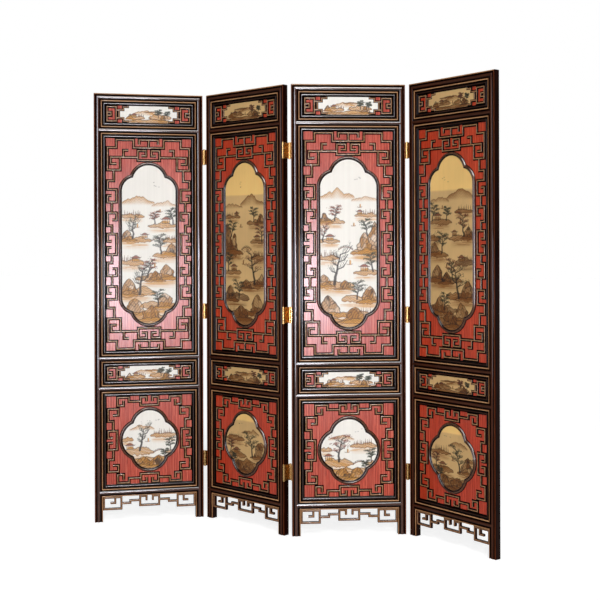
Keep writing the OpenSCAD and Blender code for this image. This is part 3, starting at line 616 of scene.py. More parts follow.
def wandering(rng, length):
    """A smooth random function, about -1 to 1, that turns every length mm: random heights at
    even knots, eased between, plus half as much at half the length and a quarter at a quarter."""
    knots = rng.uniform(-1, 1, (3, 256))

    def line(v):
        total = 0.0
        for k, heights in enumerate(knots):
            at = np.asarray(v, float) / length * 2 ** k + 100.5
            cell = np.floor(at).astype(int)
            t = at - cell
            t = t * t * (3 - 2 * t)
            total = total + (heights[cell % 256] * (1 - t) + heights[(cell + 1) % 256] * t) / 2 ** k
        return total / 1.75

    return line


class Picture:
    """A painting over points (x, z) in millimetres from a window's middle. Each brush lays ink
    over the points near it by an amount from 0 to 1. The ground is brushed upright and mottled
    by a share, and above its line it takes the sky's colour, which on panels 2 and 4 is a
    painted reflection of a warm wall, in gilt."""

    def __init__(self, x, z, ground, sky, reflection_line, inks, mottle, seed):
        self.x, self.z = x, z
        self.inks = {name: np.asarray(ink[:3]) for name, ink in inks.items()}
        self.rng = np.random.default_rng(seed)
        streaks = wandering(self.rng, 9.0)(x) + 0.5 * wandering(self.rng, 3.0)(x + 0.02 * z)
        clouds = wandering(self.rng, 90.0)(x * 0.8 + z * 0.3) + wandering(self.rng, 120.0)(z - x * 0.2)
        above = eased(reflection_line - 5, reflection_line + 5, z + 2 * wandering(self.rng, 60.0)(x))[:, None]
        base = np.asarray(sky[:3]) * above + np.asarray(ground[:3]) * (1 - above)
        self.rgb = base * (1 + 0.035 * streaks + mottle * clouds)[:, None]

    def near(self, low, high, reach=3.0):
        """Which points lie in a box, grown by reach."""
        return np.flatnonzero((self.x > low[0] - reach) & (self.x < high[0] + reach)
                              & (self.z > low[1] - reach) & (self.z < high[1] + reach))

    def wash(self, at, amount, ink):
        """Lays ink over the points by the given amounts."""
        a = np.clip(amount, 0, 1)[:, None]
        self.rgb[at] = self.rgb[at] * (1 - a) + a * self.inks[ink]

    def line(self, points, width, ink="ink", strength=0.9):
        """A brush line: ink within half a width of the nearest of its segments. width is one
        number, or one for each segment."""
        points = np.asarray(points, float)
        at = self.near(points.min(0), points.max(0), np.max(width) + 2)
        q = np.stack([self.x[at], self.z[at]], axis=1)[:, None]
        a, b = points[None, :-1], points[None, 1:]
        t = np.clip(((q - a) * (b - a)).sum(-1) / np.maximum(((b - a) ** 2).sum(-1), 1e-9), 0, 1)
        past = np.linalg.norm(q - a - t[..., None] * (b - a), axis=-1) - np.asarray(width) / 2
        self.wash(at, strength * inked(past.min(1)), ink)

    def dots(self, points, width, ink, strength=0.85):
        """Brush dabs: ink within half a width of the nearest, twice as wide as high."""
        points = np.asarray(points, float)
        at = self.near(points.min(0), points.max(0), width + 2)
        d = (self.x[at, None] - points[:, 0]) ** 2 / 2 + (self.z[at, None] - points[:, 1]) ** 2
        self.wash(at, strength * inked(np.sqrt(d.min(1)) - width / 2), ink)

    def hills(self, left, right, foot, height, strength=0.9):
        """Far hills: under a wandering ridge the wash fades down into mist, and dark folds
        run down from it on either side of each peak."""
        at = self.near((left, foot - 0.3 * height), (right, foot + 1.3 * height))
        x, z = self.x[at], self.z[at]
        wander = wandering(self.rng, (right - left) / 5)
        swell = [np.sin(np.pi * np.clip((v - left) / (right - left), 0, 1)) ** 0.8 for v in (x, x + 1)]
        ridge, ahead = [foot + height * s * (0.68 + 0.45 * wander(v)) for s, v in zip(swell, (x, x + 1))]
        depth = ridge - z
        fade = np.exp(-np.clip(depth, 0, None) / (0.55 * height + 2))
        fade *= eased(foot - 0.3 * height, foot + 4, z)
        body = strength * soft(depth) * eased(0.0, 0.12, swell[0]) * fade
        lean = np.where(ahead > ridge, 1.0, -1.0)
        folds = 0.42 * (x + lean * 1.3 * depth) + 1.5 * wandering(self.rng, 20.0)(x + z)
        self.wash(at, body * 0.95, "ochre")
        self.wash(at, body * 0.9 * np.clip(np.sin(folds), 0, 1) ** 3, "brown")
        self.wash(at, body * np.exp(-((depth - 0.9) / 1.2) ** 2), "brown")

    def land(self, left, right, foot, height, ink="ochre"):
        """Land in the water: a wandering top over a ragged foot, slanting dark strokes, dark
        edges, and strokes of still water under it."""
        at = self.near((left, foot - 2 * height), (right, foot + 1.8 * height))
        x, z = self.x[at], self.z[at]
        swell = np.sin(np.pi * np.clip((x - left) / (right - left), 0, 1)) ** 0.45
        top = foot + 1.3 * height * swell * (0.72 + 0.45 * wandering(self.rng, (right - left) / 6)(x))
        low = foot - 0.6 * height * swell * (0.7 + 0.6 * wandering(self.rng, 12.0)(x))
        inside = soft(top - z) * soft(z - low) * eased(0.0, 0.2, swell)
        mottled = 0.78 + 0.3 * wandering(self.rng, 7.0)(x * 0.6 + z * 1.9)
        strokes = 0.5 * (x + 1.8 * (top - z)) + 2.5 * wandering(self.rng, 15.0)(x - z)
        misty = eased(0.3, 1.0, swell) * np.exp(-((z - foot + 0.9 * height) / (0.5 * height + 3)) ** 2)
        self.wash(at, 0.7 * misty * (0.6 + 0.5 * wandering(self.rng, 5.0)(z * 1.6 + x * 0.08)), ink)
        self.wash(at, 0.92 * inside * mottled, ink)
        self.wash(at, 0.95 * inside * np.clip(np.sin(strokes), 0, 1) ** 3, "brown")
        self.wash(at, 0.9 * inside * np.exp(-((top - z - 1.0) / 1.7) ** 2), "ink")
        self.wash(at, 0.7 * inside * np.exp(-((z - low - 1.0) / 2.2) ** 2), "brown")
        for _ in range(6):
            start = self.rng.uniform(left - 8, right - 0.4 * (right - left))
            level = foot - 0.6 * height - self.rng.uniform(1.5, 12.0)
            reach = self.rng.uniform(0.2, 0.5) * (right - left)
            self.line([(start, level), (start + reach, level + 0.4)], 1.0, ink, 0.65)

    def rocks(self, middle, foot, width, height, facets=14):
        """A rock: half its width falls off as (1 - share of the height) ^ 0.6 and wanders, each
        point takes the tone of its nearest facet, and the seams between facets are dark. A
        strip of land hides its foot."""
        at = self.near((middle - width / 2, foot - 2), (middle + width / 2, foot + height))
        x, z = self.x[at], self.z[at]
        share = np.clip((z - foot) / height, 0, 1)
        off = x - middle - 0.12 * width * share * wandering(self.rng, height)(z)
        half = width / 2 * (1 - share) ** 0.6 * (0.86 + 0.34 * wandering(self.rng, height / 3)(z))
        edge = half - abs(off)
        inside = soft(edge) * eased(foot - 1.5, foot + 0.5, z)
        low, high = (middle - width / 2, foot), (middle + width / 2, foot + height)
        seeds = self.rng.uniform(low, high, (facets, 2))
        d = np.hypot((x[:, None] - seeds[:, 0]) * 1.5, z[:, None] - seeds[:, 1])
        order = np.sort(d, axis=1)
        shade = self.rng.uniform(0.0, 1.0, facets)[d.argmin(1)]
        hatch = np.clip(np.sin(0.5 * x - 0.36 * z + 3 * wandering(self.rng, 18.0)(x + z)), 0, 1) ** 2
        self.wash(at, inside * (0.4 + 0.56 * shade), "ochre")
        self.wash(at, inside * (0.5 * shade + 0.5 * hatch), "brown")
        self.wash(at, inside * 0.85 * np.exp(-((order[:, 1] - order[:, 0]) / 2.2) ** 2), "ink")
        self.wash(at, inside * 0.95 * np.exp(-((edge - 1.0) / 1.9) ** 2), "ink")
        self.land(middle - 0.66 * width, middle + 0.66 * width, foot - 0.04 * height, 0.2 * height)

    def tree(self, x, z, height, leaf="green", lean=0.0, fine=False):
        """A crooked tree: a tapering trunk that wanders, branches that turn up, and pads of
        leaves on them, or with fine only specks."""
        rise = np.linspace(0, 0.8 * height, 9)
        sway = lean * rise / height + height * 0.07 * wandering(self.rng, height * 0.3)(rise)
        trunk = np.stack([x + sway - sway[0], z + rise], axis=1)
        self.line(trunk, np.linspace(0.075, 0.025, 8) * height + 0.6)
        for k in range(12):
            start = trunk[3 + k % 6]
            side = (1 if k % 2 else -1) * self.rng.uniform(0.5, 1.2)
            length = height * self.rng.uniform(0.18, 0.36)
            mid = start + length * np.array([0.55 * side, 0.22])
            tip = mid + length * np.array([0.3 * side, 0.5 if fine else 0.2])
            self.line([start, mid, tip], [max(1.4, 0.022 * height), max(1.1, 0.016 * height)])
            for fork in (0.25, 0.6):
                off = start + fork * (tip - start)
                twig = off + length * np.array([0.18 * side, 0.42]) * self.rng.uniform(0.6, 1.1)
                self.line([off, twig], 1.1, strength=0.8)
                if fine:
                    self.dots(twig + self.rng.normal(0, 0.045 * height, (7, 2)), 1.5, leaf)
            if not fine:
                pad = tip + self.rng.normal(0, 1, (26, 2)) * (0.085, 0.028) * height + (0, 0.03 * height)
                self.dots(pad, 2.0, leaf, 0.85)
                self.dots(pad[::3] - (0, 1.5), 1.6, "ink", 0.75)

    def firs(self, x, z, width, height, count=9):
        """A row of far firs: upright strokes, broader at the foot."""
        for place in np.linspace(-width / 2, width / 2, count) + self.rng.normal(0, 1.2, count):
            tall = height * self.rng.uniform(0.5, 1.0)
            self.line([(x + place, z), (x + place, z + tall)], 1.2, "brown", 0.85)
            self.line([(x + place - 0.6, z), (x + place, z + 0.6 * tall)], 3.0, "brown", 0.7)

    def hut(self, x, z, size):
        """A pavilion: a dark room and posts under one or two roofs whose eaves turn up."""
        room = z + 0.2 * size
        self.line([(x - 0.3 * size, room), (x + 0.3 * size, room)], 0.3 * size, "ochre", 0.7)
        for post in (-0.38, -0.13, 0.13, 0.38):
            self.line([(x + post * size, z), (x + post * size, z + 0.45 * size)], 1.4)
        self.line([(x - 0.45 * size, z), (x + 0.45 * size, z)], 1.5)
        for share in np.linspace(0, 1, 4):
            reach, level = (0.56 - 0.4 * share) * size, z + (0.47 + 0.24 * share) * size
            self.line([(x - reach, level), (x + reach, level)], 0.09 * size, "rust")
        for side in (-1, 1):
            self.line([(x + 0.68 * side * size, z + 0.56 * size), (x + 0.5 * side * size, z + 0.46 * size),
                       (x + 0.14 * side * size, z + 0.74 * size), (x, z + 0.76 * size)], 1.4)
        self.line([(x - 0.5 * size, z + 0.45 * size), (x + 0.5 * size, z + 0.45 * size)], 1.3)

    def boat(self, x, z, size):
        """A boat with a mat sail."""
        hull = [(x - size / 2, z + 2), (x - size / 4, z), (x + size / 4, z), (x + size / 2, z + 2.6)]
        self.line(hull, 2.0, "brown")
        self.line([(x + 0.12 * size, z + 3), (x + 0.12 * size, z + 0.6 * size)], 0.3 * size, "ochre", 0.85)
        self.line([(x, z), (x, z + 0.75 * size)], 1.1)

    def bridge(self, x, z, span, rise):
        """An arched bridge with posts and a rail."""
        t = np.linspace(-1, 1, 13)
        deck = np.stack([x + span / 2 * t, z + rise * (1 - t * t)], axis=1)
        self.line(deck, 3.4, "brown")
        self.line(deck + (0, 5.0), 1.2)
        for p in deck[::2]:
            self.line([p, p + (0, 5.6)], 1.2)

    def birds(self, x, z, count=4):
        """A few birds, each two short strokes."""
        for p in np.array([x, z]) + self.rng.normal(0, 7, (count, 2)) * (1.6, 0.7):
            self.line([p + (-3.0, 1.6), p, p + (3.0, 1.8)], 1.0, strength=0.8)


def tall_picture(p, kind):
    """Hills over water at the top, wooded points with pavilions, a crag at one side, and rocks
    with a large tree at the foot. kind picks one of four layouts."""
    lift = (0, -12, 8, -4)[kind]
    p.hills(-118, 26, 178 + lift, 44)
    p.hills(10, 122, 166 + lift, 26, 0.7)
    p.birds(38, 252 + lift)
    p.boat(46, 138 + lift, 18)
    if kind in (0, 3):
        p.land(-124, -18, 118, 14)
        p.firs(-70, 126, 66, 22, 8)
        p.land(-6, 124, 78, 17)
        p.tree(26, 88, 56, "green" if kind else "rust", -4)
        p.hut(74, 90, 38)
        p.tree(104, 88, 71, "green", -12)
        p.boat(-52, 72, 22)
        p.land(-128, 12, 14, 20)
        p.rocks(-92, 18, 65, 44)
        p.tree(-70, 26, 95, "rust" if kind else "green", 10, fine=kind == 0)
        p.hut(-18, 28, 28)
        p.bridge(38, 14, 56, 11)
        p.land(58, 126, 12, 16)
        p.firs(92, 20, 40, 24, 6)
        p.rocks(96, -44, 72, 48)
        p.land(14, 130, -52, 18)
        p.tree(52, -40, 85, "green", -8)
        p.land(-130, -20, -82, 20, "brown" if kind else "ochre")
        p.firs(-92, -70, 40, 26, 6)
        p.hut(-56, -74, 34)
        p.boat(22, -98, 22)
        p.land(-60, 128, -150, 24)
        p.rocks(78, -148, 92, 62)
        p.rocks(28, -158, 70, 44)
        p.tree(-6, -142, 81, "rust", 8)
        p.land(-130, 30, -212, 26)
        p.rocks(-84, -220, 98, 73)
        p.tree(-40, -214, 137, "green", 22, fine=kind == 0)
        p.land(-40, 130, -268, 26, "brown" if kind else "ochre")
        p.rocks(66, -276, 108, 66)
        p.rocks(-58, -300, 115, 68)
        p.land(-130, 130, -330, 40)
        p.rocks(8, -326, 115, 64)
        p.tree(40, -262, 68, "green", -6)
    else:
        p.land(24, 126, 112, 14)
        p.firs(80, 120, 56, 20, 7)
        p.hut(46, 118, 24)
        p.land(-128, -14, 84, 17)
        p.rocks(-96, 88, 58, 37)
        p.tree(-56, 92, 63, "green" if kind == 1 else "rust", 6)
        p.boat(20, 70, 18)
        p.rocks(102, -34, 92, 123, 22)
        p.rocks(64, -36, 78, 81, 16)
        p.tree(78, 32, 68, "green", -16)
        p.land(6, 130, -42, 20)
        p.land(-126, -34, 6, 15)
        p.hut(-76, 12, 34)
        p.tree(-104, 8, 73, "rust", 8, fine=kind == 2)
        p.bridge(-12, -26, 58, 12)
        p.land(-128, -36, -62, 18)
        p.firs(-88, -52, 56, 26, 8)
        p.boat(4, -86, 24)
        p.land(18, 128, -122, 18)
        p.hut(64, -112, 36)
        p.tree(100, -114, 81, "green", -10)
        p.land(-130, 26, -176, 24)
        p.tree(-58, -166, 151, "rust" if kind == 1 else "green", 26, fine=kind == 2)
        p.rocks(-98, -174, 70, 48)
        p.rocks(-14, -186, 72, 37)
        p.land(-30, 130, -232, 24, "ochre" if kind == 2 else "brown")
        p.rocks(84, -238, 82, 64)
        p.tree(34, -226, 76, "green", 4)
        p.rocks(-76, -292, 120, 81)
        p.land(-60, 120, -296, 22)
        p.land(-130, 130, -334, 34)
        p.rocks(24, -318, 130, 59)
        p.firs(70, -284, 34, 26, 5)


def lower_picture(p, kind):
    """A lake with far hills, a wooded point, and rocks with a tree on the near shore."""
    p.hills(-86, 22, 44, 26)
    p.birds(34, 80, 3)
    p.land(2, 122, 14, 16)
    p.firs(56, 22, 70, 24, 10)
    p.boat(-8, -10, 20)
    p.land(-122, -68, -2, 14)
    if kind % 2:
        p.rocks(-82, -52, 82, 64)
        p.tree(-44, -50, 102, "green", 16)
        p.hut(50, -46, 36)
        p.land(-10, 120, -54, 20)
        p.tree(88, -44, 61, "rust", -6)
    else:
        p.land(-122, 20, -58, 24)
        p.tree(-42, -46, 112, "rust" if kind else "green", 12, fine=kind == 0)
        p.hut(-84, -40, 34)
        p.bridge(44, -58, 54, 11)
        p.land(66, 120, -60, 14)
        p.tree(90, -50, 56, "green", -6)
    p.land(-90, 96, -92, 26)
    p.rocks(-26, -112, 105, 40)
    p.rocks(34, -118, 95, 48)
    p.tree(64, -82, 41, "green", 4)


def cartouche_picture(p, kind):
    """A low shore with hills behind it and a tree at one side."""
    p.hills(-70, 30, -2, 22)
    p.land(-20, 62, 9, 5)
    p.rocks((-84, 84, -80, 78)[kind], -20, 34, 22, 8)
    p.land(-96, -16, -18, 13)
    p.land(0, 98, -15, 15)
    p.rocks((70, -72, 62, -66)[kind], -26, 40, 26, 8)
    p.tree((50, -54, 42, -46)[kind], -14, 36, ("green", "rust")[kind % 2])
    p.tree((84, -86, 80, -84)[kind], -14, 30, "green")
    p.hut((-58, 50, -62, 54)[kind], -12, 22)
    p.firs((-30, 24, -34, 26)[kind], -10, 22, 14, 4)
    p.boat((4, -12, 6, -8)[kind], -16, 14)
    p.land(-98, 98, -31, 10)


def plaque_part(row_x, row_z, middle):
    """A plaque of rows of points whose rim goes back to the board: the front grid, a wall and
    a flat back. row_x and row_z are the grid's x and z from the window's middle."""
    rows, cols = row_x.shape
    y = np.full_like(row_x, BOARD_Y - PLAQUE_T)
    front = np.stack([middle[0] + row_x, y, middle[1] + row_z], axis=-1)
    rim = np.concatenate([np.arange(cols), np.arange(1, rows) * cols + cols - 1,
                          (rows - 1) * cols + np.arange(cols - 1)[::-1],
                          np.arange(1, rows - 1)[::-1] * cols])
    points = front.reshape(-1, 3)
    back = points[rim].copy()
    back[:, 1] = BOARD_Y
    count = len(points)
    ring = np.arange(len(rim))
    after = (ring + 1) % len(rim)
    wall = np.stack([rim[ring], rim[after], count + after, count + ring], axis=1)
    faces = [f[::-1] for f in grid_faces(rows, cols, False).tolist()] + wall[:, ::-1].tolist()
    faces.append((count + ring).tolist())
    return np.concatenate([points, back]), [f[::-1] for f in faces], rim


def window_grid(window, rows, cols):
    """Grid of a lobed plaque: z = half height times the sine of even steps, which closes up at
    the tips, and x = even shares of the half width there."""
    half = window["h"] / 2 - PLAQUE_GAP
    z = half * np.sin(np.linspace(-1, 1, rows) * math.pi / 2)
    near_tip = np.clip(z, -half + 1e-3, half - 1e-3)
    width = np.maximum(half_widths(window, near_tip) - PLAQUE_GAP, 0.05)
    x = np.linspace(-1, 1, cols)[None] * width[:, None]
    return x, np.broadcast_to(z[:, None], x.shape).copy()


def cartouche_grid(field, strip_w, pitch):
    """Grid of a stepped plaque: even rows and columns, each row as wide as its step."""
    half_h = FIELDS[field][1] / 2 - MOULDING_W
    reach = strip_w / 2 + PLAQUE_GAP
    steps = [(FIELD_W / 2 - x * FIELD_W / 2 / DESIGN_X[1] - reach, z * half_h / CORNER_STEPS[-1][1] - reach)
             for x, z in CORNER_STEPS]
    steps[2] = (steps[2][0], half_h - PLAQUE_GAP)
    levels = [-steps[2][1], -steps[1][1], -steps[0][1], steps[0][1], steps[1][1], steps[2][1]]
    widths = [steps[2][0], steps[1][0], steps[0][0], steps[1][0], steps[2][0]]
    z, w = [], []
    for low, high, width in zip(levels[:-1], levels[1:], widths):
        inner = np.linspace(low, high, max(3, int((high - low) / pitch)))
        z.append(inner)
        w.append(np.full(len(inner), width))
    z, w = np.concatenate(z), np.concatenate(w)
    x = np.linspace(-1, 1, int(2 * steps[0][0] / pitch))[None] * w[:, None]
    return x, np.broadcast_to(z[:, None], x.shape).copy()


# ------------------------------------------------------------------ properties


def colour_property(name, hexed, description):
    """A colour that a user may change."""
    return bpy.props.FloatVectorProperty(name=name, description=description, subtype="COLOR", size=4,
                                         min=0.0, max=1.0, default=linear(hexed))


def number_property(name, description, default, low, **more):
    """A number that a user may change."""
    return bpy.props.FloatProperty(name=name, description=description, default=default, min=low, **more)


LENGTH = {"subtype": "DISTANCE", "precision": 4}
FACTOR = {"subtype": "FACTOR", "max": 1.0}


class ScreenColours(bpy.types.PropertyGroup):
    """Colours of the lacquers, inks and brass."""

    black: colour_property("Black lacquer", "#0A0201", "Quirks and backs of the frame")
    black_warm: colour_property("Warm black lacquer", "#280D06", "Where the black lacquer is thin")
    # Lighter brown on the crowns of the frame's reeds and the mouldings' beads is thin lacquer and a
    # painted sheen; on the boards' backs it is thin lacquer only
    sheen_and_thin_brown: colour_property("Bloom", "#4E2A1A", "Thin brown lacquer on the polished crowns")
    russet: colour_property("Russet lacquer", "#6E3820", "Worn outer edges of the frame")
    rubbed: colour_property("Rubbed lacquer", "#84502E", "Worn beads of the frame")
    gold: colour_property("Rubbed gold lacquer", "#D0A276", "Worn crowns of the frame's beads")
    strip_gold: colour_property("Rubbed strips", "#CC9A66", "Worn crowns of the fret and apron strips")
    strip_brown: colour_property("Brown strips", "#6A3A20", "Less worn crowns of the fret strips")
    # The red lacquers of panels 1 and 3 and the orange red ones of panels 2 and 4 are one lacquer, painted
    # lit and rosier on panels 1 and 3 and painted in shade, more saturated, on panels 2 and 4
    red: colour_property("Red lacquer", "#C84C36", "Boards of panels 1 and 3")
    red_light: colour_property("Light red lacquer", "#E0765A", "Light streaks of panels 1 and 3")
    red_deep: colour_property("Deep red lacquer", "#983224", "Dark streaks of panels 1 and 3")
    orange: colour_property("Orange red lacquer", "#CA3C1C", "Boards of panels 2 and 4")
    orange_light: colour_property("Light orange red lacquer", "#DE5230", "Light streaks of panels 2 and 4")
    orange_deep: colour_property("Deep orange red lacquer", "#9C2C12", "Dark streaks of panels 2 and 4")
    pore: colour_property("Pores", "#5A1A12", "Pores of the boards' grain")
    # The ivory and the tan are one ground: ivory where it is lit on panels 1 and 3, and tan as its painted
    # shade on panels 2 and 4
    ivory: colour_property("Ivory ground", "#FCF8F0", "Ground of the pictures on panels 1 and 3")
    tan: colour_property("Tan ground", "#D8B278", "Ground of the pictures on panels 2 and 4")
    # The gilt is a painted reflection: the warm wall that panels 2 and 4 mirror, painted into the top of
    # their pictures
    gilt_reflection: colour_property("Gilt sky", "#FCD080", "Sky of the pictures on panels 2 and 4")
    ink: colour_property("Dark ink", "#1E140E", "Outlines in the pictures")
    brown: colour_property("Brown ink", "#763F0E", "Shading in the pictures")
    ochre: colour_property("Ochre ink", "#D89A38", "Washes in the pictures")
    umber: colour_property("Umber ink", "#824C12", "Washes in the pictures on panels 2 and 4")
    rust: colour_property("Rust ink", "#94482A", "Roofs and autumn leaves")
    green: colour_property("Grey green ink", "#3E4A30", "Leaves in the pictures")
    brass: colour_property("Brass", "#CCA66A", "Hinges")
    brass_dark: colour_property("Dull brass", "#8E6A40", "Handled parts of the hinges")


class ScreenSizes(bpy.types.PropertyGroup):
    """Sizes of the strips and the pictures' grids."""

    fret_w: number_property("Fret strip width", "Width of the fret strips", 0.0082, 0.006, max=0.010,
                            **LENGTH)
    fret_t: number_property("Fret strip thickness", "Thickness of the fret strips", 0.0046, 0.003,
                            max=0.006, **LENGTH)
    apron_w: number_property("Apron strip width", "Width of the apron strips", 0.009, 0.007, max=0.011,
                             **LENGTH)
    grid_pitch: number_property("Picture grid", "Distance between the pictures' points", 0.0016, 0.001,
                                max=0.006, **LENGTH)
    # Painted shade: the inks on panels 2 and 4 are darkened by this share
    ink_shade: number_property("Ink on tan ground", "Brightness of the inks on panels 2 and 4", 0.5, 0.2,
                            **FACTOR)
    seed: bpy.props.IntProperty(name="Picture seed", description="Changes the pictures' brushwork",
                                default=11)


class ScreenStage(bpy.types.PropertyGroup):
    """Light of the studio."""

    key: number_property("Key light", "Strength of the far lamp high in front, on the right", 1.2, 0.0)
    fill: number_property("Fill light", "Strength of the light from all round", 0.2, 0.0)
    front: number_property("Front of the studio", "How bright the studio looks in gloss that faces away "
                           "from the backdrop", 0.04, 0.0, **FACTOR)
    window: number_property("Window light", "Power of the soft box right of the camera", 75.0, 0.0,
                            unit="POWER")
    gleam: number_property("Gleam", "How bright the boxes look that show in the gloss alone", 5.0, 0.0)


# ------------------------------------------------------------------ operators


def settings():
    """The three property groups."""
    scene = bpy.context.scene
    return scene.screen_colours, scene.screen_sizes, scene.screen_stage


def paint_node(name, material):
    """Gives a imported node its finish."""
    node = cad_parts[name]
    node.data.materials.clear()
    node.data.materials.append(material)


class SCREEN_OT_frame_finishes(bpy.types.Operator):
    """Lacquers the frames, boards and inner mouldings"""

    bl_idname = "screen.frame_finishes"
    bl_label = "Frame finishes"

    def execute(self, context):
        colours, _, _ = settings()
        for n in PANELS:
            upright, level = frame_lacquer(n, colours, True), frame_lacquer(n, colours, False)
            # Painted light and shade: panels 1 and 3 take the lit copy of the board lacquer, panels 2 and 4
            # its shaded copy
            reds = ((colours.red, colours.red_light, colours.red_deep) if n in PALE else
                    (colours.orange, colours.orange_light, colours.orange_deep))
            for part, finish in (("left_stile", upright), ("right_stile", upright), ("rails", level),
                                 ("inner_mouldings", inner_lacquer(n, colours)),
                                 ("boards", board_lacquer(n, colours, *reds))):
                paint_node(f"panel_{n}_{part}", finish)
        return {"FINISHED"}


class SCREEN_OT_frets(bpy.types.Operator):
    """Lays the fretwork of every field on its board"""

    bl_idname = "screen.frets"
    bl_label = "Frets"

    def execute(self, context):
        colours, sizes, _ = settings()
        w, thick = sizes.fret_w / MM, sizes.fret_t / MM
        material = rubbed_lacquer("rubbed_gold_lacquer", colours.black, colours.strip_gold,
                                  colours.strip_brown)
        tall_x, tall_z = window_fit(TALL_WINDOW, TALL)
        lower_x, lower_z = window_fit(LOWER_WINDOW, LOWER)
        even_x = (DESIGN_X[0] * FIELD_W / 2 / DESIGN_X[1], FIELD_W / 2)
        small = []
        for field in (MIDDLE, TOP):
            half = FIELDS[field][1] / 2 - MOULDING_W
            small.append((CARTOUCHE_FRET, field, even_x, (CORNER_STEPS[-1][1],) * 2, (half,) * 2))
        jobs = (("tall_fret", [(TALL_FRET, TALL, tall_x, TALL_DESIGN_Y, tall_z)]),
                ("lower_fret", [(LOWER_FRET, LOWER, lower_x, LOWER_DESIGN_Y, lower_z)]),
                ("cartouche_frets", small))
        for n in PANELS:
            for part, frets in jobs:
                bars, wear = [], []
                for paths, field, real_x, design_z, real_z in frets:
                    more, worn = fret_parts(paths, (DESIGN_X, real_x), (design_z, real_z),
                                            field_middle(field), real_z[1], w, thick, BOARD_Y, CROWN)
                    bars += more
                    wear.append(worn)
                piece = new_piece(f"fretwork_{part}_{n}", n, bars, material,
                                  "wear", np.concatenate(wear))
                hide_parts(f"panel_{n}_{part}")
        return {"FINISHED"}


class SCREEN_OT_aprons(bpy.types.Operator):
    """Makes the pierced aprons under the bottom rails"""

    bl_idname = "screen.aprons"
    bl_label = "Aprons"

    def execute(self, context):
        colours, sizes, _ = settings()
        material = rubbed_lacquer("rubbed_brown_lacquer", colours.black_warm, colours.strip_gold,
                                  colours.russet)
        w = sizes.apron_w / MM
        fit_x = (APRON_DESIGN[0] / 2,) * 2, (OPENING_W / 2,) * 2
        fit_z = (APRON_DESIGN[1],) * 2, (APRON_H - w / 2,) * 2
        under_rail = PANEL_W / 2, FIELDS[LOWER][0] - RAIL_H
        for n in PANELS:
            bars, wear = fret_parts(APRON_FRET, fit_x, fit_z, under_rail, APRON_H, w, APRON_T,
                                    FRONT_Y + APRON_SET + APRON_T, APRON_CROWN, mirrored_z=False)
            piece = new_piece(f"apron_fret_{n}", n, bars, material, "wear", wear)
            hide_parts(f"panel_{n}_apron")
        return {"FINISHED"}


class SCREEN_OT_window_mouldings(bpy.types.Operator):
    """Bends the mouldings round the lobed windows"""

    bl_idname = "screen.window_mouldings"
    bl_label = "Window mouldings"

    def execute(self, context):
        colours, _, _ = settings()
        material = rubbed_lacquer("rubbed_dark_lacquer", colours.black, colours.rubbed, colours.black_warm)
        parts, wear = zip(window_moulding_part(TALL_WINDOW, field_middle(TALL), BOARD_Y),
                          window_moulding_part(LOWER_WINDOW, field_middle(LOWER), BOARD_Y))
        for n in PANELS:
            piece = new_piece(f"window_mouldings_{n}", n, parts, material,
                              "wear", WINDOW_WEAR * np.concatenate(wear))
            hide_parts(f"panel_{n}_window_mouldings")
        return {"FINISHED"}


class SCREEN_OT_pictures(bpy.types.Operator):
    """Paints the plaques of every panel"""

    bl_idname = "screen.pictures"
    bl_label = "Pictures"

    def execute(self, context):
        colours, sizes, _ = settings()
        material = picture_lacquer()
        pitch = sizes.grid_pitch / MM
        # Each window's field and grid, its picture, and the height where the gilt begins on panels 2 and 4,
        # a painted reflection of a warm wall
        jobs = []
        for field, window, closer, paint, reflection_line in ((TALL, TALL_WINDOW, 1.1, tall_picture, 205.0),
                                                       (LOWER, LOWER_WINDOW, 1.2, lower_picture, 95.0)):
            grid = window_grid(window, int(window["h"] / pitch * closer), int(window["w"] / pitch))
            jobs.append((field, grid, paint, reflection_line))
        jobs += [(field, cartouche_grid(field, sizes.fret_w / MM, pitch * 0.8), cartouche_picture, 90.0)
                 for field in (MIDDLE, TOP)]
        for n in PANELS:
            # Panels 2 and 4 get the tan ground and the darkened inks as painted shade
            pale = n in PALE
            ground, sky, mottle = ((colours.ivory, colours.ivory, 0.03) if pale else
                                   (colours.tan, colours.gilt_reflection, 0.11))
            inks = {key: tuple(v * (1 if pale else sizes.ink_shade) for v in getattr(colours, key)[:3])
                    for key in ("ink", "brown", "ochre", "rust", "green")}
            if not pale:
                inks["ochre"] = colours.umber[:3]
            flip = 1 if pale else -1
            for name, some in (("tall_plaque", jobs[:1]), ("small_plaques", jobs[1:])):
                parts, colour = [], []
                for field, (x, z), paint, reflection_line in some:
                    points, faces, rim = plaque_part(x, z, field_middle(field))
                    picture = Picture(flip * x.ravel(), z.ravel(), ground, sky, reflection_line, inks, mottle,
                                      sizes.seed + 10 * n + 2 * field)
                    paint(picture, (n - 1 + 2 * (field == TOP)) % 4)
                    rgb = np.concatenate([picture.rgb, picture.rgb[rim]])
                    parts.append((points, faces))
                    colour.append(np.concatenate([rgb, np.ones((len(rgb), 1))], axis=1))
                piece = new_piece(f"painted_{name}_{n}", n, parts, material,
                                  "painting", np.concatenate(colour))
                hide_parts(f"panel_{n}_picture_plaques")
        return {"FINISHED"}


class SCREEN_OT_hinges(bpy.types.Operator):
    """Polishes the hinges and their screws"""

    bl_idname = "screen.hinges"
    bl_label = "Hinges"

    def execute(self, context):
        colours, _, _ = settings()
        brass = polished_brass(colours)
        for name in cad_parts:
            if "hinge" in name:
                paint_node(name, brass)
        return {"FINISHED"}


# The floor in metres, and its glow to the camera, where 1 is white, and in gloss
FLOOR_HALF, FLOOR_Z = 40.0, -0.0005
FLOOR_GLOW, MIRRORED_SHARE = 0.78, 0.3
# The far lamp's turn and its width across the sky, in degrees
KEY_TURN, KEY_ANGLE = (50, 0, 24), 16
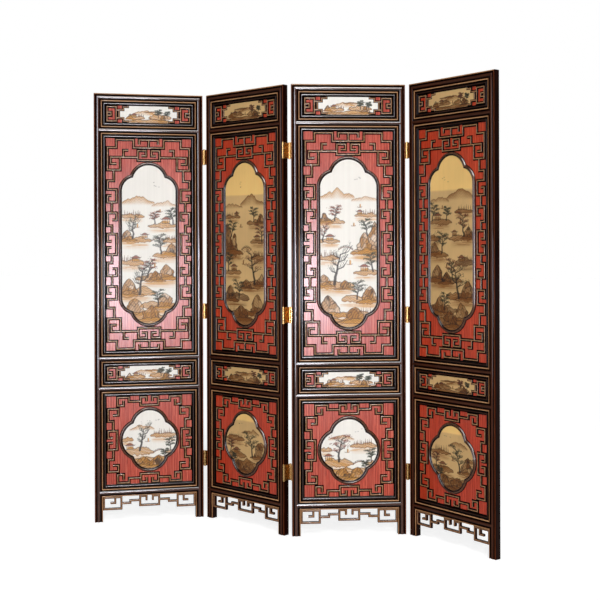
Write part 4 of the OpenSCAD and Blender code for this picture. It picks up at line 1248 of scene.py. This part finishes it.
# Boxes of light: name, brightness as a share of the gleam, size and place in metres, turn in
# degrees and hue. The first lights the object with its own power, the rest show in gloss alone
BOXES = (("window", None, (1.4, 1.8), (1.95, -4.1, 1.0), (90, 0, 25), "#FFFFFF"),
         ("glare", 15, (0.52, 0.62), (1.98, -3.9, 0.92), (90, 0, 28), "#F2F2FF"),
         ("front", 2.3, (2.4, 2.4), (-0.5, -4.6, 1.3), (90, 0, -5), "#E6EEFF"),
         ("side", 0.06, (2.6, 3.0), (-4.2, -1.4, 1.6), (90, 0, -73), "#FFD49A"),
         ("above", 2.2, (3.6, 1.8), (1.0, -2.2, 3.9), (36, 0, 25), "#FFFFFF"))
# The camera that was fitted to the panels' corners
CAMERA_PLACE, CAMERA_TURN = (1.5636, -4.2211, 1.1583), (math.pi / 2, 0.00304, 0.34887)
CAMERA_LENS, CAMERA_SHIFT = 65.634, -0.08343


class SCREEN_OT_stage(bpy.types.Operator):
    """Sets the floor, the lights and the camera"""

    bl_idname = "screen.stage"
    bl_label = "Stage"

    def execute(self, context):
        _, _, light = settings()
        scene = context.scene
        scene.view_settings.view_transform = "Standard"
        mesh = bpy.data.meshes.new("studio_floor")
        half = FLOOR_HALF
        mesh.from_pydata([(-half, -half, FLOOR_Z), (half, -half, FLOOR_Z), (half, half, FLOOR_Z),
                          (-half, half, FLOOR_Z)], [], [(0, 1, 2, 3)])
        floor = bpy.data.objects.new("studio_floor", mesh)
        material, tree, output = new_material("white_paper")
        rays = add(tree, "LightPath").node.outputs
        mirrored = add(tree, "Math", (rays["Is Glossy Ray"], MIRRORED_SHARE), operation="MULTIPLY")
        shown = add(tree, "Math", (rays["Is Camera Ray"], mirrored), operation="MAXIMUM")
        glow = add(tree, "Math", (shown, FLOOR_GLOW), operation="MULTIPLY")
        glow = add(tree, "Emission", {"Strength": glow})
        paper = add(tree, "BsdfDiffuse", {"Color": linear("#BCBCBC")})
        tree.links.new(add(tree, "AddShader", (paper, glow)), output.inputs["Surface"])
        mesh.materials.append(material)

        world = bpy.data.worlds.new("studio")
        world.use_nodes = True
        scene.world = world
        tree = world.node_tree
        tree.nodes.clear()
        rays = add(tree, "LightPath").node.outputs
        # Gloss shows the white backdrop behind the object and the dimmer studio before it
        way = add(tree, "SeparateXYZ", (add(tree, "TexCoord", out="Generated"),), out=1)
        gloss = add(tree, "MapRange", (way, 0.2, 0.7, light.front, 1.0))
        gloss = add(tree, "Math", (gloss, rays["Is Glossy Ray"]), operation="MULTIPLY")
        shown = add(tree, "Math", (rays["Is Camera Ray"], rays["Is Transmission Ray"]), operation="MAXIMUM")
        shown = add(tree, "Math", (shown, gloss), operation="MAXIMUM")
        strength = add(tree, "Math", (shown, light.fill), operation="MAXIMUM")
        sky = add(tree, "Background", {"Color": linear("#FFFFFF"), "Strength": strength})
        tree.links.new(sky, add(tree, "OutputWorld").inputs["Surface"])

        sun = bpy.data.lights.new("key", "SUN")
        sun.energy, sun.angle = light.key, math.radians(KEY_ANGLE)
        key = bpy.data.objects.new("key", sun)
        key.rotation_euler = [math.radians(v) for v in KEY_TURN]
        boxes = []
        for name, share, size, place, turn, hue in BOXES:
            area = bpy.data.lights.new(name, "AREA")
            area.shape, area.size, area.size_y = "RECTANGLE", *size
            area.energy = share * light.gleam * math.pi * size[0] * size[1] if share else light.window
            area.color = linear(hue)[:3]
            box = bpy.data.objects.new(name, area)
            box.location, box.rotation_euler = place, [math.radians(v) for v in turn]
            box.visible_camera, box.visible_diffuse, box.visible_glossy = False, not share, bool(share)
            boxes.append(box)

        lens = bpy.data.cameras.new("camera")
        lens.sensor_width, lens.lens, lens.shift_y = 36.0, CAMERA_LENS, CAMERA_SHIFT
        lens.clip_start, lens.clip_end = 0.1, 200.0
        camera = bpy.data.objects.new("camera", lens)
        camera.location, camera.rotation_euler = CAMERA_PLACE, CAMERA_TURN
        for thing in (floor, key, *boxes, camera):
            scene.collection.objects.link(thing)
        scene.camera = camera
        return {"FINISHED"}


class SCREEN_PT_panel(bpy.types.Panel):
    """Colours, sizes and the steps that make the screen"""

    bl_idname = "SCREEN_PT_panel"
    bl_label = "Folding screen"
    bl_space_type = "VIEW_3D"
    bl_region_type = "UI"
    bl_category = "Screen"

    def draw(self, context):
        for group in settings():
            box = self.layout.box()
            for name in group.__annotations__:
                box.prop(group, name)
        for step in STEPS_IN_ORDER:
            self.layout.operator(step.bl_idname)


GROUPS = {"screen_colours": ScreenColours, "screen_sizes": ScreenSizes, "screen_stage": ScreenStage}
STEPS_IN_ORDER = (SCREEN_OT_frame_finishes, SCREEN_OT_frets, SCREEN_OT_aprons, SCREEN_OT_window_mouldings,
                  SCREEN_OT_pictures, SCREEN_OT_hinges, SCREEN_OT_stage)


def register():
    """Registers the classes and hangs the property groups on the scene."""
    for cls in (*GROUPS.values(), *STEPS_IN_ORDER, SCREEN_PT_panel):
        bpy.utils.register_class(cls)
    for name, cls in GROUPS.items():
        setattr(bpy.types.Scene, name, bpy.props.PointerProperty(type=cls))


def unregister():
    """Takes the property groups and the classes away again."""
    for name in GROUPS:
        delattr(bpy.types.Scene, name)
    for cls in (SCREEN_PT_panel, *reversed(STEPS_IN_ORDER), *reversed(tuple(GROUPS.values()))):
        bpy.utils.unregister_class(cls)


def main():
    """Makes the pieces and the stage."""
    register()
    for step in STEPS_IN_ORDER:
        group, name = step.bl_idname.split(".")
        getattr(getattr(bpy.ops, group), name)()


if __name__ == "__main__":
    main()
